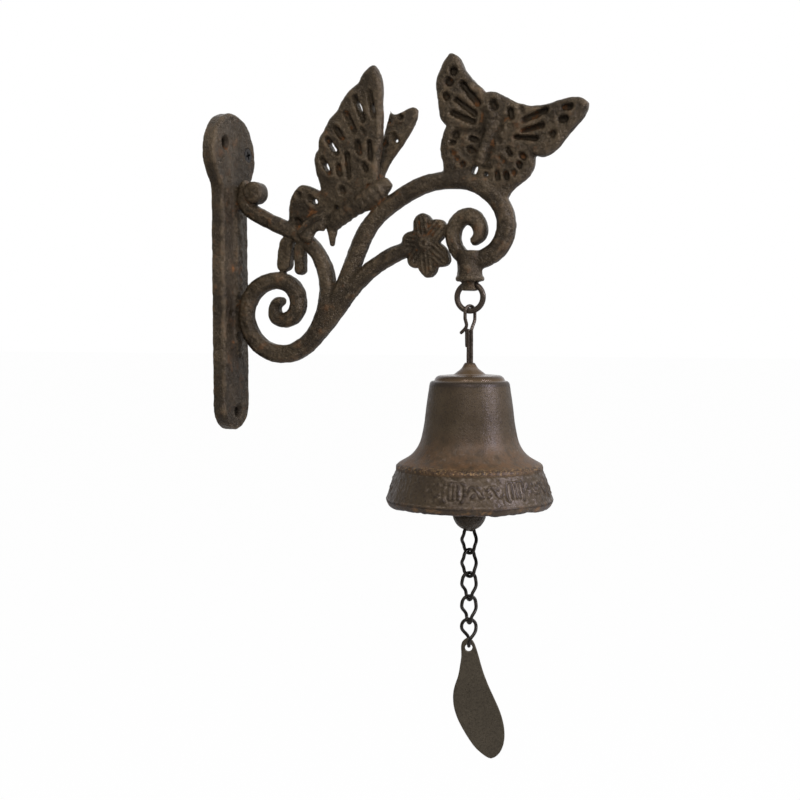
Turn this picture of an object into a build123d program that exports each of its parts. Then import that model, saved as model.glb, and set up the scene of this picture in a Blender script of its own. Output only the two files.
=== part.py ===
from build123d import *
import math
import os

# A cast-iron wall bell: a scrolled bracket with two butterflies and a flower, a bell that hangs
# from a ring at the end of its hook, and a chain with a flat pull below the clapper.
# Millimetres. +X points out of the wall, +Z up, and the viewer stands on the -Y side. The origin
# is at the middle of the wall plate's back face.

# Wall plate
PLATE_LENGTH = 181.6
PLATE_WIDTH = 28.0
PLATE_THICKNESS = 7.6
PLATE_BEVEL = 1.2
HEAD_DIAMETER = 46.0
NECK_RADIUS = 12.0
NECK_ZONE = (40.0, 60.0)
RIDGE_HEIGHT = 1.0
RIDGE_ROOT = 1.0
RIDGE_TOP = 46.0
RIB_WIDTH = 10.0
RIB_HEIGHT = 2.6
RIB_TOP = 50.0
RIB_BOTTOM = -50.0
RIB_CHAMFER = 2.0
SCREW_HOLE_DIAMETER = 4.8
COUNTERSINK_DIAMETER = 9.0
COUNTERSINK_ANGLE = 90.0
SCREW_SHANK = 4.0
SCREW_SINK = 0.3
SCREW_SLOT = (4.6, 1.0, 3.2)
SCREW_TURN = 20.0
SCREW_HOLES = {"near": (-10.5, 73.0), "far": (15.0, 69.0), "low": (1.5, -80.0)}

# Bars of the scrolls. Each is a smooth line through points given as X and Z, with its width at
# fractions of its length. The bevels are fractions of the width and the depth.
BAR_DEPTH = 8.8
BAR_BEVEL = 0.27
BAR_BEVEL_DEPTH = 0.25
BIG_SCROLL = [
    (38.0, -16.6), (33.4, -19.5), (34.2, -25.5), (40.0, -27.2), (47.0, -22.5), (47.9, -15.0),
    (43.0, -7.5), (34.0, -4.8), (22.0, -9.0), (15.0, -18.5), (14.8, -29.0), (22.0, -40.5),
    (37.0, -46.6), (51.5, -42.3), (61.0, -32.0), (66.2, -17.0), (65.8, -2.0), (59.5, 11.0),
    (49.0, 20.0), (36.0, 26.0), (24.0, 31.5), (15.2, 38.0), (13.0, 45.0), (16.5, 50.0),
]
BIG_SCROLL_WIDTHS = {
    0: 4.6, 0.04: 7.4, 0.10: 9.0, 0.22: 9.4, 0.40: 9.8, 0.52: 10.4, 0.68: 9.0, 0.80: 8.4, 0.92: 8.6, 1: 7.0,
}
BIG_SCROLL_DEPTH = 9.2
HOOK = [
    (58.0, -36.5), (66.0, -27.0), (73.0, -15.0), (79.5, -2.0), (85.8, 12.0), (92.0, 23.5),
    (101.0, 32.0), (111.0, 38.6), (122.0, 44.0), (135.0, 46.4), (149.0, 45.4), (160.5, 40.0),
    (167.8, 31.6), (170.6, 22.0), (168.6, 13.0), (162.0, 6.4), (154.0, 3.4),
]
HOOK_WIDTHS = {0: 7.0, 0.15: 9.0, 0.5: 9.2, 0.75: 9.6, 1: 9.6}
BRANCH = [
    (57.0, -39.2), (65.0, -31.2), (74.0, -19.5), (83.0, -8.5), (93.5, 0.4), (104.0, 6.6), (118.0, 11.6),
]
BRANCH_WIDTHS = {0: 7.0, 0.3: 8.6, 1: 8.0}
BRANCH_DEPTH = 8.3
CURL = [
    (150.0, 4.6), (144.0, 8.6), (141.2, 15.4), (142.6, 22.6), (148.2, 27.0), (154.2, 24.6),
    (156.2, 18.8), (151.8, 13.6),
]
CURL_WIDTHS = {0: 7.4, 0.3: 8.0, 0.55: 9.0, 0.8: 8.2, 1: 4.4}
CURL_DEPTH = 8.5
KNOB_CENTRE = (20.8, 45.2)
KNOB_DIAMETER = 12.4
KNOB_DEPTH = 10.8
KNOB_CHAMFER = 1.6

# Drops below the joint of the scroll and the wings: centre, length, width and slope
DROPS = [((40.2, 9.8), 19.5, 8.6, 82.0), ((49.6, 7.0), 18.0, 6.2, 92.0)]
DROP_DEPTH = 7.2
DROP_CHAMFER = 1.2

# Butterflies. Each wing is given in the plane that it lies in, as runs of smooth edge with a
# corner between them. Pockets and holes are slots: start, end and width.
WING_THICKNESS = 7.0
HIND_WING_STEP = 0.6
WING_BEVEL = 1.3
POCKET_DEPTH = 2.4
NEAR_WING_BASE = (0.0, -0.6, 48.0)
NEAR_WING_LEAN = 6.0
FAR_WING_BASE = (0.0, 3.2, 48.0)
FAR_WING_LEAN = -16.0
FAR_WING_THICKNESS = 4.6
OPEN_WING_THICKNESS = 7.4
NEAR_FOREWING = [
    [(97.0, -8.0), (98.5, 8.0), (101.0, 22.0), (102.2, 40.0), (101.6, 56.0), (98.6, 61.4)],
    [(98.6, 61.4), (96.2, 60.4), (89.2, 52.4)],
    [(89.2, 52.4), (82.6, 48.0), (75.8, 38.6)],
    [(75.8, 38.6), (70.6, 34.2), (66.6, 28.4)],
    [(66.6, 28.4), (64.0, 24.2), (63.4, 19.0)],
    [(63.4, 19.0), (60.6, 14.6), (60.8, 7.4), (63.2, -4.2)],
    [(63.2, -4.2), (76.0, -14.0), (97.0, -8.0)],
]
NEAR_HINDWING = [
    [(64.4, -4.6), (57.9, -1.4), (51.0, 0.2), (46.4, -3.2), (42.9, -11.0), (42.4, -20.0), (44.5, -28.0)],
    [(44.5, -28.0), (50.0, -29.6)],
    [(50.0, -29.6), (55.6, -22.0), (62.0, -18.6), (71.0, -18.0)],
    [(71.0, -18.0), (72.0, -10.0), (64.4, -4.6)],
]
FAR_FOREWING = [
    [(92.0, -9.0), (94.0, 8.0), (96.0, 24.0), (98.5, 42.0)],
    [(98.5, 42.0), (102.0, 39.2), (108.0, 41.4), (112.4, 43.0), (115.0, 41.4)],
    [(115.0, 41.4), (114.4, 33.6), (109.4, 23.4), (102.4, 11.4), (99.4, 4.6)],
    [(99.4, 4.6), (100.0, -5.0)],
    [(100.0, -5.0), (92.0, -9.0)],
]
FAR_HINDWING = [
    [(50.0, -28.0), (54.0, -32.4), (58.0, -33.4), (61.0, -28.4), (66.0, -27.4)],
    [(66.0, -27.4), (70.0, -16.0)],
    [(70.0, -16.0), (58.0, -18.0), (50.0, -28.0)],
]
SIDE_BODY = [
    (68.0, -0.4, 24.6), (78.0, -1.2, 31.0), (90.0, -1.6, 37.6), (99.0, -1.4, 43.4), (104.6, -1.0, 47.6),
]
SIDE_BODY_RADII = {0: 3.2, 0.2: 4.7, 0.5: 5.4, 0.72: 6.2, 0.88: 5.0, 1: 3.0}
STING_TOP = (69.8, -0.6, 26.5)
STING_RADII = (3.6, 1.2)
STING_LENGTH = 13.0
NEAR_HOLES = [
    ((88.4, 42.2), (90.2, 38.0), 2.4), ((97.4, 40.4), (97.8, 36.8), 1.8), ((70.6, 21.8), (73.0, 18.0), 2.2),
    ((66.8, 10.6), (68.2, 7.6), 2.2), ((59.0, -9.2), (59.6, -9.6), 3.0),
]
NEAR_POCKETS = [
    ((82.0, 36.0), (85.5, 28.2), 2.8), ((75.3, 28.8), (78.2, 24.4), 3.0), ((94.7, 20.2), (94.8, 12.6), 2.6),
    ((87.6, 20.2), (88.2, 16.4), 3.0), ((81.3, 14.0), (81.5, 4.0), 2.8), ((75.3, 8.8), (75.8, 5.4), 2.8),
    ((91.0, 8.8), (91.9, 6.4), 2.6), ((48.2, -19.4), (49.1, -20.6), 3.2),
]
FAR_HOLES = [((104.0, 24.4), (105.0, 22.8), 1.8)]
OPEN_FOREWINGS = [
    [(139.4, 112.4), (143.2, 110.8), (147.4, 104.0), (153.6, 96.4), (159.4, 90.4)],
    [(159.4, 90.4), (164.0, 90.4), (168.0, 88.6), (177.0, 84.0), (187.0, 82.0), (200.0, 84.0), (210.0, 84.2),
     (213.6, 81.4)],
    [(213.6, 81.4), (212.0, 75.8), (204.4, 67.6), (196.0, 58.6), (191.0, 56.0), (186.0, 56.8)],
    [(186.0, 56.8), (175.0, 46.0)],
    [(175.0, 46.0), (150.0, 60.0)],
    [(150.0, 60.0), (137.6, 75.2)],
    [(137.6, 75.2), (134.2, 79.0), (133.0, 88.0), (131.6, 97.4), (134.0, 105.0), (139.4, 112.4)],
]
OPEN_HINDWINGS = [
    [(138.4, 76.4), (135.6, 70.0), (134.0, 62.0), (135.6, 55.0), (135.4, 48.0)],
    [(135.4, 48.0), (150.0, 44.0), (164.0, 37.0), (171.6, 36.4)],
    [(171.6, 36.4), (176.0, 41.6), (183.4, 47.4), (185.6, 52.0), (185.4, 58.0)],
    [(185.4, 58.0), (164.0, 76.0), (138.4, 76.4)],
]
OPEN_BODY = [(163.6, 0.0, 86.6), (162.8, 0.0, 76.0), (159.4, 0.0, 64.0), (154.6, 0.0, 51.0)]
OPEN_BODY_RADII = {0: 3.6, 0.12: 5.0, 0.3: 4.6, 0.7: 4.8, 1: 2.4}
OPEN_HOLES = [((153.4, 50.0), (154.2, 51.8), 3.2), ((159.8, 48.0), (160.2, 48.4), 2.2)]
OPEN_POCKETS = [
    ((147.7, 94.6), (155.5, 85.2), 3.2), ((144.2, 87.4), (153.5, 79.9), 3.0),
    ((142.0, 80.9), (152.9, 75.7), 3.0), ((180.9, 74.7), (191.5, 78.5), 2.8),
    ((180.1, 69.3), (189.9, 71.2), 2.6), ((176.6, 66.2), (186.7, 65.0), 2.6),
    ((142.0, 102.8), (142.0, 102.8), 4.0), ((139.5, 97.3), (139.5, 97.3), 4.0),
    ((138.2, 89.9), (138.2, 89.9), 4.0), ((202.0, 79.5), (204.4, 79.5), 3.0),
    ((200.6, 73.5), (202.0, 73.5), 3.4), ((195.9, 66.8), (195.9, 66.8), 3.8),
    ((172.2, 60.0), (173.2, 58.0), 2.2), ((179.7, 56.8), (180.5, 55.8), 3.0),
    ((178.1, 52.5), (178.5, 51.7), 3.0), ((152.1, 67.2), (154.1, 66.4), 3.0),
    ((151.5, 61.6), (152.7, 61.0), 3.2), ((143.1, 69.6), (143.1, 69.6), 3.4),
    ((141.0, 65.6), (142.0, 65.6), 2.4), ((147.4, 54.2), (147.4, 54.2), 3.0),
    ((173.4, 79.9), (173.8, 77.1), 3.0), ((166.2, 48.9), (166.4, 45.7), 2.2),
    ((171.0, 48.1), (171.6, 45.7), 2.2),
]

# Flower
FLOWER_CENTRE = (125.5, 13.6)
FLOWER_DEPTH = 7.8
PETAL_WIDTH = 11.4
PETALS = {98: 16.2, 48: 15.6, 170: 13.6, 236: 14.8, 277: 18.4, 318: 17.2}
PETAL_CHAMFER = 1.5
BUTTON_DIAMETER = 6.6
BUTTON_DEPTH = 10.4
BUTTON_CHAMFER = 1.0

# Boss and the ring that hangs in its eye
BELL_X = 150.6
BOSS_DIAMETER = 13.6
BOSS_TOP = 9.0
BOSS_BOTTOM = -7.2
COLLAR_DIAMETER = 15.4
COLLAR_HEIGHT = 3.2
COLLAR_CHAMFER = 0.9
LIP_DIAMETER = 10.2
LIP_BOTTOM = -12.0
LIP_MARGIN = 0.2
EYE_GROOVE = 9.0
RING_DIAMETER = 17.6
RING_WIRE = 3.1
RING_TOP = -6.7
WIRE_PLAY = 0.15
WIRE_SIDES = 8

# Hanger wire. The two wires of the shank sink a little into each other.
HANGER_WIRE = 1.9
SHANK_WIRE = 1.75
SHANK_SINK = 0.04
EYE_HALF_WIDTH = 3.3
EYE_YAW = 58.0
EYE_LEG = 3.4
SHANK_YAW = 19.5
NECK_Z = -33.5
TAIL_WIRE = 1.4
TAIL_START = (-1.6, -0.6, -31.2)
TAIL_END = (-4.9, -1.4, -34.8)
SPARE_WIRE = 1.3
SPARE_START = 1.0
SPARE_GAP = 0.25
SPARE_END_Z = -42.0
LOWER_EYE_RADIUS = 3.2
LOWER_EYE_DROP = 5.0

# Bell. Its runs give radius and height; the curved ones are turned as short chords.
CROWN_INSIDE_Z = -62.6
SHANK_HOLE = 3.9
CONE_CURVE = [(3.0, -50.5), (4.2, -53.0), (7.4, -55.4), (8.4, -56.4)]
DISC_STEPS = [(16.6, -57.0), (17.6, -57.6), (18.6, -58.7), (18.8, -59.9), (20.2, -59.9)]
BODY_CURVE = [
    (21.2, -60.8), (23.1, -73.9), (24.4, -84.0), (26.6, -93.2), (31.2, -99.6), (38.2, -104.0),
]
BAND_STEPS = [(39.4, -106.2), (44.6, -121.6), (44.9, -123.6), (43.2, -126.5)]
INSIDE_CURVE = [
    (39.8, -126.5), (39.9, -121.0), (36.0, -108.0), (28.4, -100.8), (23.2, -94.0), (20.6, -84.0),
    (17.4, -65.0),
]
CROWN_STEPS = [
    (15.4, CROWN_INSIDE_Z), (SHANK_HOLE / 2, CROWN_INSIDE_Z), (SHANK_HOLE / 2, -49.9), (2.3, -49.9),
]
CONE_CHORDS = 4
BODY_CHORDS = 12
INSIDE_CHORDS = 10
WASHER_DIAMETER = 12.0
WASHER_THICKNESS = 1.3
WASHER_PLAY = 0.05

# Clapper
BALL_DIAMETER = 18.5
BALL_Z = -130.7
LUG_WIDTH = 5.6
LUG_THICKNESS = 4.2
LUG_BOTTOM = -140.6
LUG_HEIGHT = 8.6
BALL_CHORDS = 16
SOCKET_RADII = (3.4, 2.2)
SOCKET_HEIGHT = 3.0
SOCKET_SINK = 1.6
TUNNEL_PLAY = 0.3
TUNNEL_SIDES = 12
ROD_WIRE = 2.4
ROD_EYE_RADIUS = 3.2
ROD_NECK_DROP = 6.5

# Chain
LINK_WIRE = 1.9
LINK_LENGTH = 16.6
LINK_WIDTH = 9.7
LINK_TOP = -136.9
LINK_YAWS = (-25.5, -25.5, -45.5, -50.5, -68.0)
LINK_PITCH = LINK_LENGTH - 2 * LINK_WIRE - WIRE_PLAY
LINK_RADIUS = (LINK_WIDTH - LINK_WIRE) / 2

# Pull
PULL_THICKNESS = 1.5
PULL_TOP = -199.0
PULL_HOLE_DIAMETER = 4.0
PULL_YAW = 22.0
PULL_OUTLINE = [
    (-1.4, 0.0), (-3.8, -2.6), (-4.0, -8.6), (-4.6, -14.4), (-5.8, -21.0), (-7.8, -27.2), (-8.4, -33.4),
    (-7.4, -40.0), (-4.4, -47.4), (-0.4, -54.4), (4.0, -60.4), (8.6, -64.4), (12.0, -66.0), (15.6, -64.4),
    (18.6, -59.6), (19.6, -53.6), (19.0, -47.0), (17.0, -40.0), (13.8, -32.6), (10.4, -25.0), (7.6, -17.4),
    (5.6, -10.4), (3.6, -4.0), (1.6, -0.6),
]


FROM_BASE = (Align.CENTER, Align.CENTER, Align.MIN)


def leaning_plane(base, lean):
    """A plane whose x runs along X and whose y leans by an angle from +Z towards the viewer."""
    turn = math.radians(lean)
    return Plane(origin=base, x_dir=(1, 0, 0), z_dir=(0, -math.cos(turn), -math.sin(turn)))


SHANK_END_Z = CROWN_INSIDE_Z - WASHER_THICKNESS - WASHER_PLAY
LOWER_EYE_Z = SHANK_END_Z - LOWER_EYE_DROP
COUNTERSINK_SLOPE = math.tan(math.radians(COUNTERSINK_ANGLE / 2))
LOWER_EYE_WIRE_Z = LOWER_EYE_Z - LOWER_EYE_RADIUS
CLAPPER_WIRE_Z = LOWER_EYE_WIRE_Z + SHANK_WIRE / 2 + WIRE_PLAY + ROD_WIRE / 2
CLAPPER_BOW_Z = CLAPPER_WIRE_Z - ROD_EYE_RADIUS

BRACKET_PLANE = leaning_plane((0, 0, 0), 0)
NEAR_WING = leaning_plane(NEAR_WING_BASE, NEAR_WING_LEAN)
FAR_WING = leaning_plane(FAR_WING_BASE, FAR_WING_LEAN)


def outline(*runs):
    """A flat shape whose edge is a smooth curve through each run of points, with a corner between runs."""
    edges = [Spline(*run) if len(run) > 2 else Line(*run) for run in runs]
    return make_face(edges)


def bar(points, widths, depth):
    """A cast bar along a smooth line in the bracket's plane, bevelled front and back."""
    line = Spline(*[(x, 0, z) for x, z in points])
    sections = []
    for place, width in widths.items():
        across = width / 2
        flat = across - BAR_BEVEL * width
        deep = depth / 2
        side = deep - BAR_BEVEL_DEPTH * depth
        corners = [
            (flat, deep), (across, side), (across, -side), (flat, -deep),
            (-flat, -deep), (-across, -side), (-across, side), (-flat, deep),
        ]
        tangent = line % place
        at = Plane(origin=line @ place, x_dir=tangent.cross(Vector(0, 1, 0)), z_dir=tangent)
        sections.append(at * make_face(Polyline(*corners, close=True)))
    return sweep(sections, path=line, multisection=True)


def slot_shape(plane, start, end, width):
    """A round-ended slot in a plane, or a circle where it starts and ends at one point."""
    middle = ((start[0] + end[0]) / 2, (start[1] + end[1]) / 2)
    length = math.dist(start, end)
    turn = math.degrees(math.atan2(end[1] - start[1], end[0] - start[0]))
    shape = SlotCenterToCenter(length, width) if length > 0 else Circle(width / 2)
    return plane * Pos(*middle) * Rot(0, 0, turn) * shape


def hole(plane, thickness, start, end, width):
    """A slot right through a wing."""
    return extrude(slot_shape(plane, start, end, width), thickness, both=True)


def pocket(plane, thickness, start, end, width):
    """A slot sunk into the front of a wing."""
    floor = Pos(*(plane.z_dir * (thickness / 2 - POCKET_DEPTH))) * slot_shape(plane, start, end, width)
    return extrude(floor, thickness, dir=plane.z_dir)


def wall_plate():
    """The plate with its round head, shallow ridge and the rib that the scrolls grow from."""
    half = PLATE_LENGTH / 2
    radius = HEAD_DIAMETER / 2
    low = PLATE_WIDTH / 2
    head = Plane.YZ * Pos(0, half - radius) * Circle(radius)
    strap = Plane.YZ * Pos(0, (half - radius - half + low) / 2) * SlotCenterToCenter(
        2 * half - radius - low, PLATE_WIDTH, rotation=90
    )
    face = head + strap
    corners = [v for v in face.vertices() if NECK_ZONE[0] < v.Z < NECK_ZONE[1]]
    face = fillet(corners, NECK_RADIUS)
    plate = extrude(face, PLATE_THICKNESS)
    front = plate.faces().sort_by(Axis.X)[-1]
    plate = chamfer(front.edges(), PLATE_BEVEL)
    gable = Polyline(
        (-low + PLATE_BEVEL, PLATE_THICKNESS - RIDGE_ROOT),
        (-low + PLATE_BEVEL, PLATE_THICKNESS),
        (0, PLATE_THICKNESS + RIDGE_HEIGHT),
        (low - PLATE_BEVEL, PLATE_THICKNESS),
        (low - PLATE_BEVEL, PLATE_THICKNESS - RIDGE_ROOT),
        close=True,
    )
    section = Plane(origin=(0, 0, -half + low), x_dir=(0, 1, 0), z_dir=(0, 0, -1))
    ridge = extrude(section * make_face(gable), -(RIDGE_TOP + half - low))
    rib = Pos(PLATE_THICKNESS, 0, (RIB_TOP + RIB_BOTTOM) / 2) * extrude(
        Plane.YZ * SlotOverall(RIB_TOP - RIB_BOTTOM, RIB_WIDTH, rotation=90), RIB_HEIGHT
    )
    rib = chamfer(rib.faces().sort_by(Axis.X)[-1].edges(), RIB_CHAMFER)
    return plate + ridge + rib


def scrolls():
    """The S-shaped scroll, the hook, the flower branch and the curl inside the hook."""
    return [
        bar(BIG_SCROLL, BIG_SCROLL_WIDTHS, BIG_SCROLL_DEPTH),
        bar(HOOK, HOOK_WIDTHS, BAR_DEPTH),
        bar(BRANCH, BRANCH_WIDTHS, BRANCH_DEPTH),
        bar(CURL, CURL_WIDTHS, CURL_DEPTH),
    ]


def knob():
    """The rolled end of the upper scroll."""
    x, z = KNOB_CENTRE
    roll = Pos(x, 0, z) * Rot(90, 0, 0) * Cylinder(KNOB_DIAMETER / 2, KNOB_DEPTH)
    return chamfer(roll.edges(), KNOB_CHAMFER)


def drops():
    """The rounded drops below the joint of the scroll and the wings."""
    solids = []
    for (x, z), length, width, slope in DROPS:
        at = Plane(origin=(x, 0, z), x_dir=(1, 0, 0), z_dir=(0, -1, 0))
        drop = extrude(at * SlotOverall(length, width, rotation=slope), DROP_DEPTH / 2, both=True)
        solids.append(chamfer(drop.faces().filter_by(Axis.Y).edges(), DROP_CHAMFER))
    return solids


def flower():
    """Six petals about a button, set across the end of the branch."""
    x, z = FLOWER_CENTRE
    solids = []
    for angle, reach in PETALS.items():
        turn = math.radians(angle)
        middle = (x + reach / 2 * math.cos(turn), 0, z + reach / 2 * math.sin(turn))
        at = Plane(origin=middle, x_dir=(math.cos(turn), 0, math.sin(turn)), z_dir=(0, -1, 0))
        petal = extrude(at * Ellipse(reach / 2, PETAL_WIDTH / 2), FLOWER_DEPTH / 2, both=True)
        solids.append(chamfer(petal.faces().filter_by(Axis.Y).edges(), PETAL_CHAMFER))
    button = Pos(x, 0, z) * Rot(90, 0, 0) * Cylinder(BUTTON_DIAMETER / 2, BUTTON_DEPTH)
    solids.append(chamfer(button.edges(), BUTTON_CHAMFER))
    return solids


def wing(plane, thickness, runs):
    """A cast wing with bevelled edges."""
    plate = extrude(plane * outline(*runs), thickness / 2, both=True)
    flat = [f for f in plate.faces() if abs(f.normal_at().dot(plane.z_dir)) > 0.99]
    rims = [e for f in flat for e in f.edges()]
    return chamfer(rims, WING_BEVEL)


def butterfly_body(points, radii):
    """A butterfly's body, swollen and tapered along its line."""
    line = Spline(*points)
    sections = [Plane(origin=line @ t, z_dir=line % t) * Circle(r) for t, r in radii.items()]
    return sweep(sections, path=line, multisection=True)


def side_butterfly():
    """The butterfly seen from its side, its near wings upright and its far wings leaning back."""
    solids = [
        wing(NEAR_WING, WING_THICKNESS, NEAR_FOREWING),
        wing(NEAR_WING, WING_THICKNESS - HIND_WING_STEP, NEAR_HINDWING),
        wing(FAR_WING, FAR_WING_THICKNESS, FAR_FOREWING),
        wing(FAR_WING, FAR_WING_THICKNESS, FAR_HINDWING),
        butterfly_body(SIDE_BODY, SIDE_BODY_RADII),
        Pos(*STING_TOP) * Rot(180, 0, 0) * Cone(*STING_RADII, STING_LENGTH, align=FROM_BASE),
    ]
    cuts = [hole(NEAR_WING, WING_THICKNESS, *slot) for slot in NEAR_HOLES]
    cuts += [hole(FAR_WING, FAR_WING_THICKNESS, *slot) for slot in FAR_HOLES]
    cuts += [pocket(NEAR_WING, WING_THICKNESS, *slot) for slot in NEAR_POCKETS]
    return solids, cuts


def open_butterfly():
    """The butterfly with its wings spread, which sits on top of the hook."""
    solids = [
        wing(BRACKET_PLANE, OPEN_WING_THICKNESS, OPEN_FOREWINGS),
        wing(BRACKET_PLANE, OPEN_WING_THICKNESS - HIND_WING_STEP, OPEN_HINDWINGS),
        butterfly_body(OPEN_BODY, OPEN_BODY_RADII),
    ]
    cuts = [hole(BRACKET_PLANE, OPEN_WING_THICKNESS, *slot) for slot in OPEN_HOLES]
    cuts += [pocket(BRACKET_PLANE, OPEN_WING_THICKNESS, *slot) for slot in OPEN_POCKETS]
    return solids, cuts


def boss():
    """The hanging boss: a post with a collar, and below it a lip whose eye holds the ring."""
    foot = Pos(BELL_X, 0, BOSS_BOTTOM)
    post = foot * Cylinder(BOSS_DIAMETER / 2, BOSS_TOP - BOSS_BOTTOM, align=FROM_BASE)
    collar = foot * Cylinder(COLLAR_DIAMETER / 2, COLLAR_HEIGHT, align=FROM_BASE)
    collar = chamfer(collar.edges(), COLLAR_CHAMFER)
    lip = Pos(BELL_X, 0, LIP_BOTTOM) * Cylinder(LIP_DIAMETER / 2, BOSS_BOTTOM - LIP_BOTTOM, align=FROM_BASE)
    bore = RING_WIRE / 2 + WIRE_PLAY
    groove = Pos(BELL_X, 0, RING_TOP - RING_WIRE / 2) * Rot(0, 90, 0) * Cylinder(bore, EYE_GROOVE)
    return post + collar - groove + (lip - boss_eye())


def boss_eye():
    """The eye through the lip. It widens to both sides, so that the ring can swing in it."""
    ring_radius = (RING_DIAMETER - RING_WIRE) / 2
    centre = RING_TOP - RING_WIRE / 2
    bore = RING_WIRE / 2 + WIRE_PLAY
    reach = LIP_DIAMETER / 2 + LIP_MARGIN
    mouth = ring_radius - math.sqrt((ring_radius - bore) ** 2 - reach**2)
    left = (BELL_X - reach, 0, centre + mouth)
    right = (BELL_X + reach, 0, centre + mouth)
    waist = ThreePointArc(left, (BELL_X, 0, centre + bore), right)
    sides = Polyline(right, (BELL_X + reach, 0, centre), (BELL_X - reach, 0, centre), left)
    return revolve(make_face([waist, *sides.edges()]), Axis((BELL_X, 0, centre), (1, 0, 0)))


def screw_holes(plate):
    """Countersunk holes through the plate, each a straight bore with a cone at the front."""
    for y, z in SCREW_HOLES.values():
        at = Plane(origin=(0, y, z), x_dir=(0, 1, 0), z_dir=(1, 0, 0))
        plate -= at * Cylinder(SCREW_HOLE_DIAMETER / 2, 4 * PLATE_THICKNESS)
        plate -= countersink(y, z)
    return plate


def countersink(y, z):
    """The cone of a screw head, open towards the front of the plate."""
    top = COUNTERSINK_DIAMETER / 2
    at = Plane(origin=(PLATE_THICKNESS, y, z), x_dir=(0, 1, 0), z_dir=(-1, 0, 0))
    cone = at * Cone(top, 0, top / COUNTERSINK_SLOPE, align=FROM_BASE)
    above = at * Cylinder(top, PLATE_THICKNESS, align=(Align.CENTER, Align.CENTER, Align.MAX))
    return cone + above


def bracket_casting():
    solids = scrolls() + [knob()] + drops() + flower() + [boss()]
    side, side_cuts = side_butterfly()
    spread, spread_cuts = open_butterfly()
    body = screw_holes(wall_plate())
    for solid in solids + side + spread:
        body = body + solid
    return body - side_cuts - spread_cuts


def bent_wire(path, diameter, yaw):
    """Drawn wire along a path, its section an octagon with one corner towards the yaw."""
    turn = math.radians(yaw)
    side = Vector(-math.sin(turn), math.cos(turn), 0)
    heading = path % 0
    start = Plane(origin=path @ 0, x_dir=side.cross(heading), z_dir=heading)
    return sweep(start * RegularPolygon(diameter / 2, WIRE_SIDES), path=path)


def hanging_ring():
    radius = (RING_DIAMETER - RING_WIRE) / 2
    centre = RING_TOP - RING_DIAMETER / 2
    section = Plane.XZ * Pos(radius, 0) * RegularPolygon(RING_WIRE / 2, WIRE_SIDES)
    return Pos(BELL_X, 0, centre) * Rot(90, 0, 0) * revolve(section, Axis.Z)


def half_bow(centre, radius, wire, yaw, up):
    """Half a wire ring that stands in the upright plane at a yaw from XZ, its back up or down."""
    turn = math.radians(yaw)
    along = Vector(math.cos(turn), math.sin(turn), 0)
    middle = Vector(*centre)
    crown = middle + Vector(0, 0, radius if up else -radius)
    path = ThreePointArc(middle - along * radius, crown, middle + along * radius)
    return bent_wire(path, wire, yaw)


def leg(points, wire, yaw):
    """A wire leg through some points that leaves both its ends upright."""
    down = (0, 0, -1)
    return bent_wire(Spline(*points, tangents=(down, down)), wire, yaw)


def yawed(distance, yaw, z):
    """A point at a distance from the bell's axis, in the direction of a yaw."""
    turn = math.radians(yaw)
    return (BELL_X + distance * math.cos(turn), distance * math.sin(turn), z)


def hanger_wire():
    """One bent wire: the upper eye on the ring, a doubled shank through the crown, and the lower eye."""
    ring_bottom = RING_TOP - RING_DIAMETER + RING_WIRE / 2
    top = ring_bottom + RING_WIRE / 2 + WIRE_PLAY + HANGER_WIRE / 2
    bow_z = top - EYE_HALF_WIDTH
    leg_z = bow_z - EYE_LEG
    half = SHANK_WIRE / 2 - SHANK_SINK
    pieces = [half_bow((BELL_X, 0, bow_z), EYE_HALF_WIDTH, HANGER_WIRE, EYE_YAW, True)]
    for side in (-1, 1):
        upper = yawed(side * EYE_HALF_WIDTH, EYE_YAW, bow_z)
        lower = yawed(side * EYE_HALF_WIDTH, EYE_YAW, leg_z)
        neck = yawed(side * half, SHANK_YAW, NECK_Z)
        shank_end = yawed(side * half, SHANK_YAW, SHANK_END_Z)
        lower_bow = yawed(side * LOWER_EYE_RADIUS, 0, LOWER_EYE_Z)
        pieces.append(bent_wire(Line(upper, lower), HANGER_WIRE, EYE_YAW))
        pieces.append(leg([lower, neck], HANGER_WIRE, EYE_YAW))
        pieces.append(bent_wire(Line(neck, shank_end), SHANK_WIRE, SHANK_YAW))
        pieces.append(leg([shank_end, lower_bow], SHANK_WIRE, 0))
        pieces.append(Pos(*neck) * Sphere(HANGER_WIRE / 2))
    pieces.append(half_bow((BELL_X, 0, LOWER_EYE_Z), LOWER_EYE_RADIUS, SHANK_WIRE, 0, False))
    tail = Line(*[(BELL_X + x, y, z) for x, y, z in (TAIL_START, TAIL_END)])
    pieces.append(bent_wire(tail, TAIL_WIRE, 0))
    reach = 2 * half + SPARE_GAP
    spare = Line(yawed(-reach, SHANK_YAW, NECK_Z + SPARE_START), yawed(-reach, SHANK_YAW, SPARE_END_Z))
    pieces.append(bent_wire(spare, SPARE_WIRE, SHANK_YAW))
    return pieces[0].fuse(*pieces[1:])


def chords(points, count):
    """Points that cut the smooth curve through some points into even chords."""
    curve = Spline(*points)
    points = [curve @ (i / count) for i in range(count + 1)]
    return [(point.X, point.Y) for point in points]


def bell():
    """The bell's wall, turned from its outer and inner lines, with the crown disc and cone on top."""
    edge = chords(CONE_CURVE, CONE_CHORDS) + DISC_STEPS
    edge += chords(BODY_CURVE, BODY_CHORDS) + BAND_STEPS
    edge += chords(INSIDE_CURVE, INSIDE_CHORDS) + CROWN_STEPS
    section = Plane.XZ * make_face(Polyline(*edge, close=True))
    return Pos(BELL_X, 0, 0) * revolve(section, Axis.Z)


def crown_washer():
    ring = Circle(WASHER_DIAMETER / 2) - Circle(SHANK_HOLE / 2)
    return Pos(BELL_X, 0, CROWN_INSIDE_Z - WASHER_THICKNESS) * extrude(ring, WASHER_THICKNESS)


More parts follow.
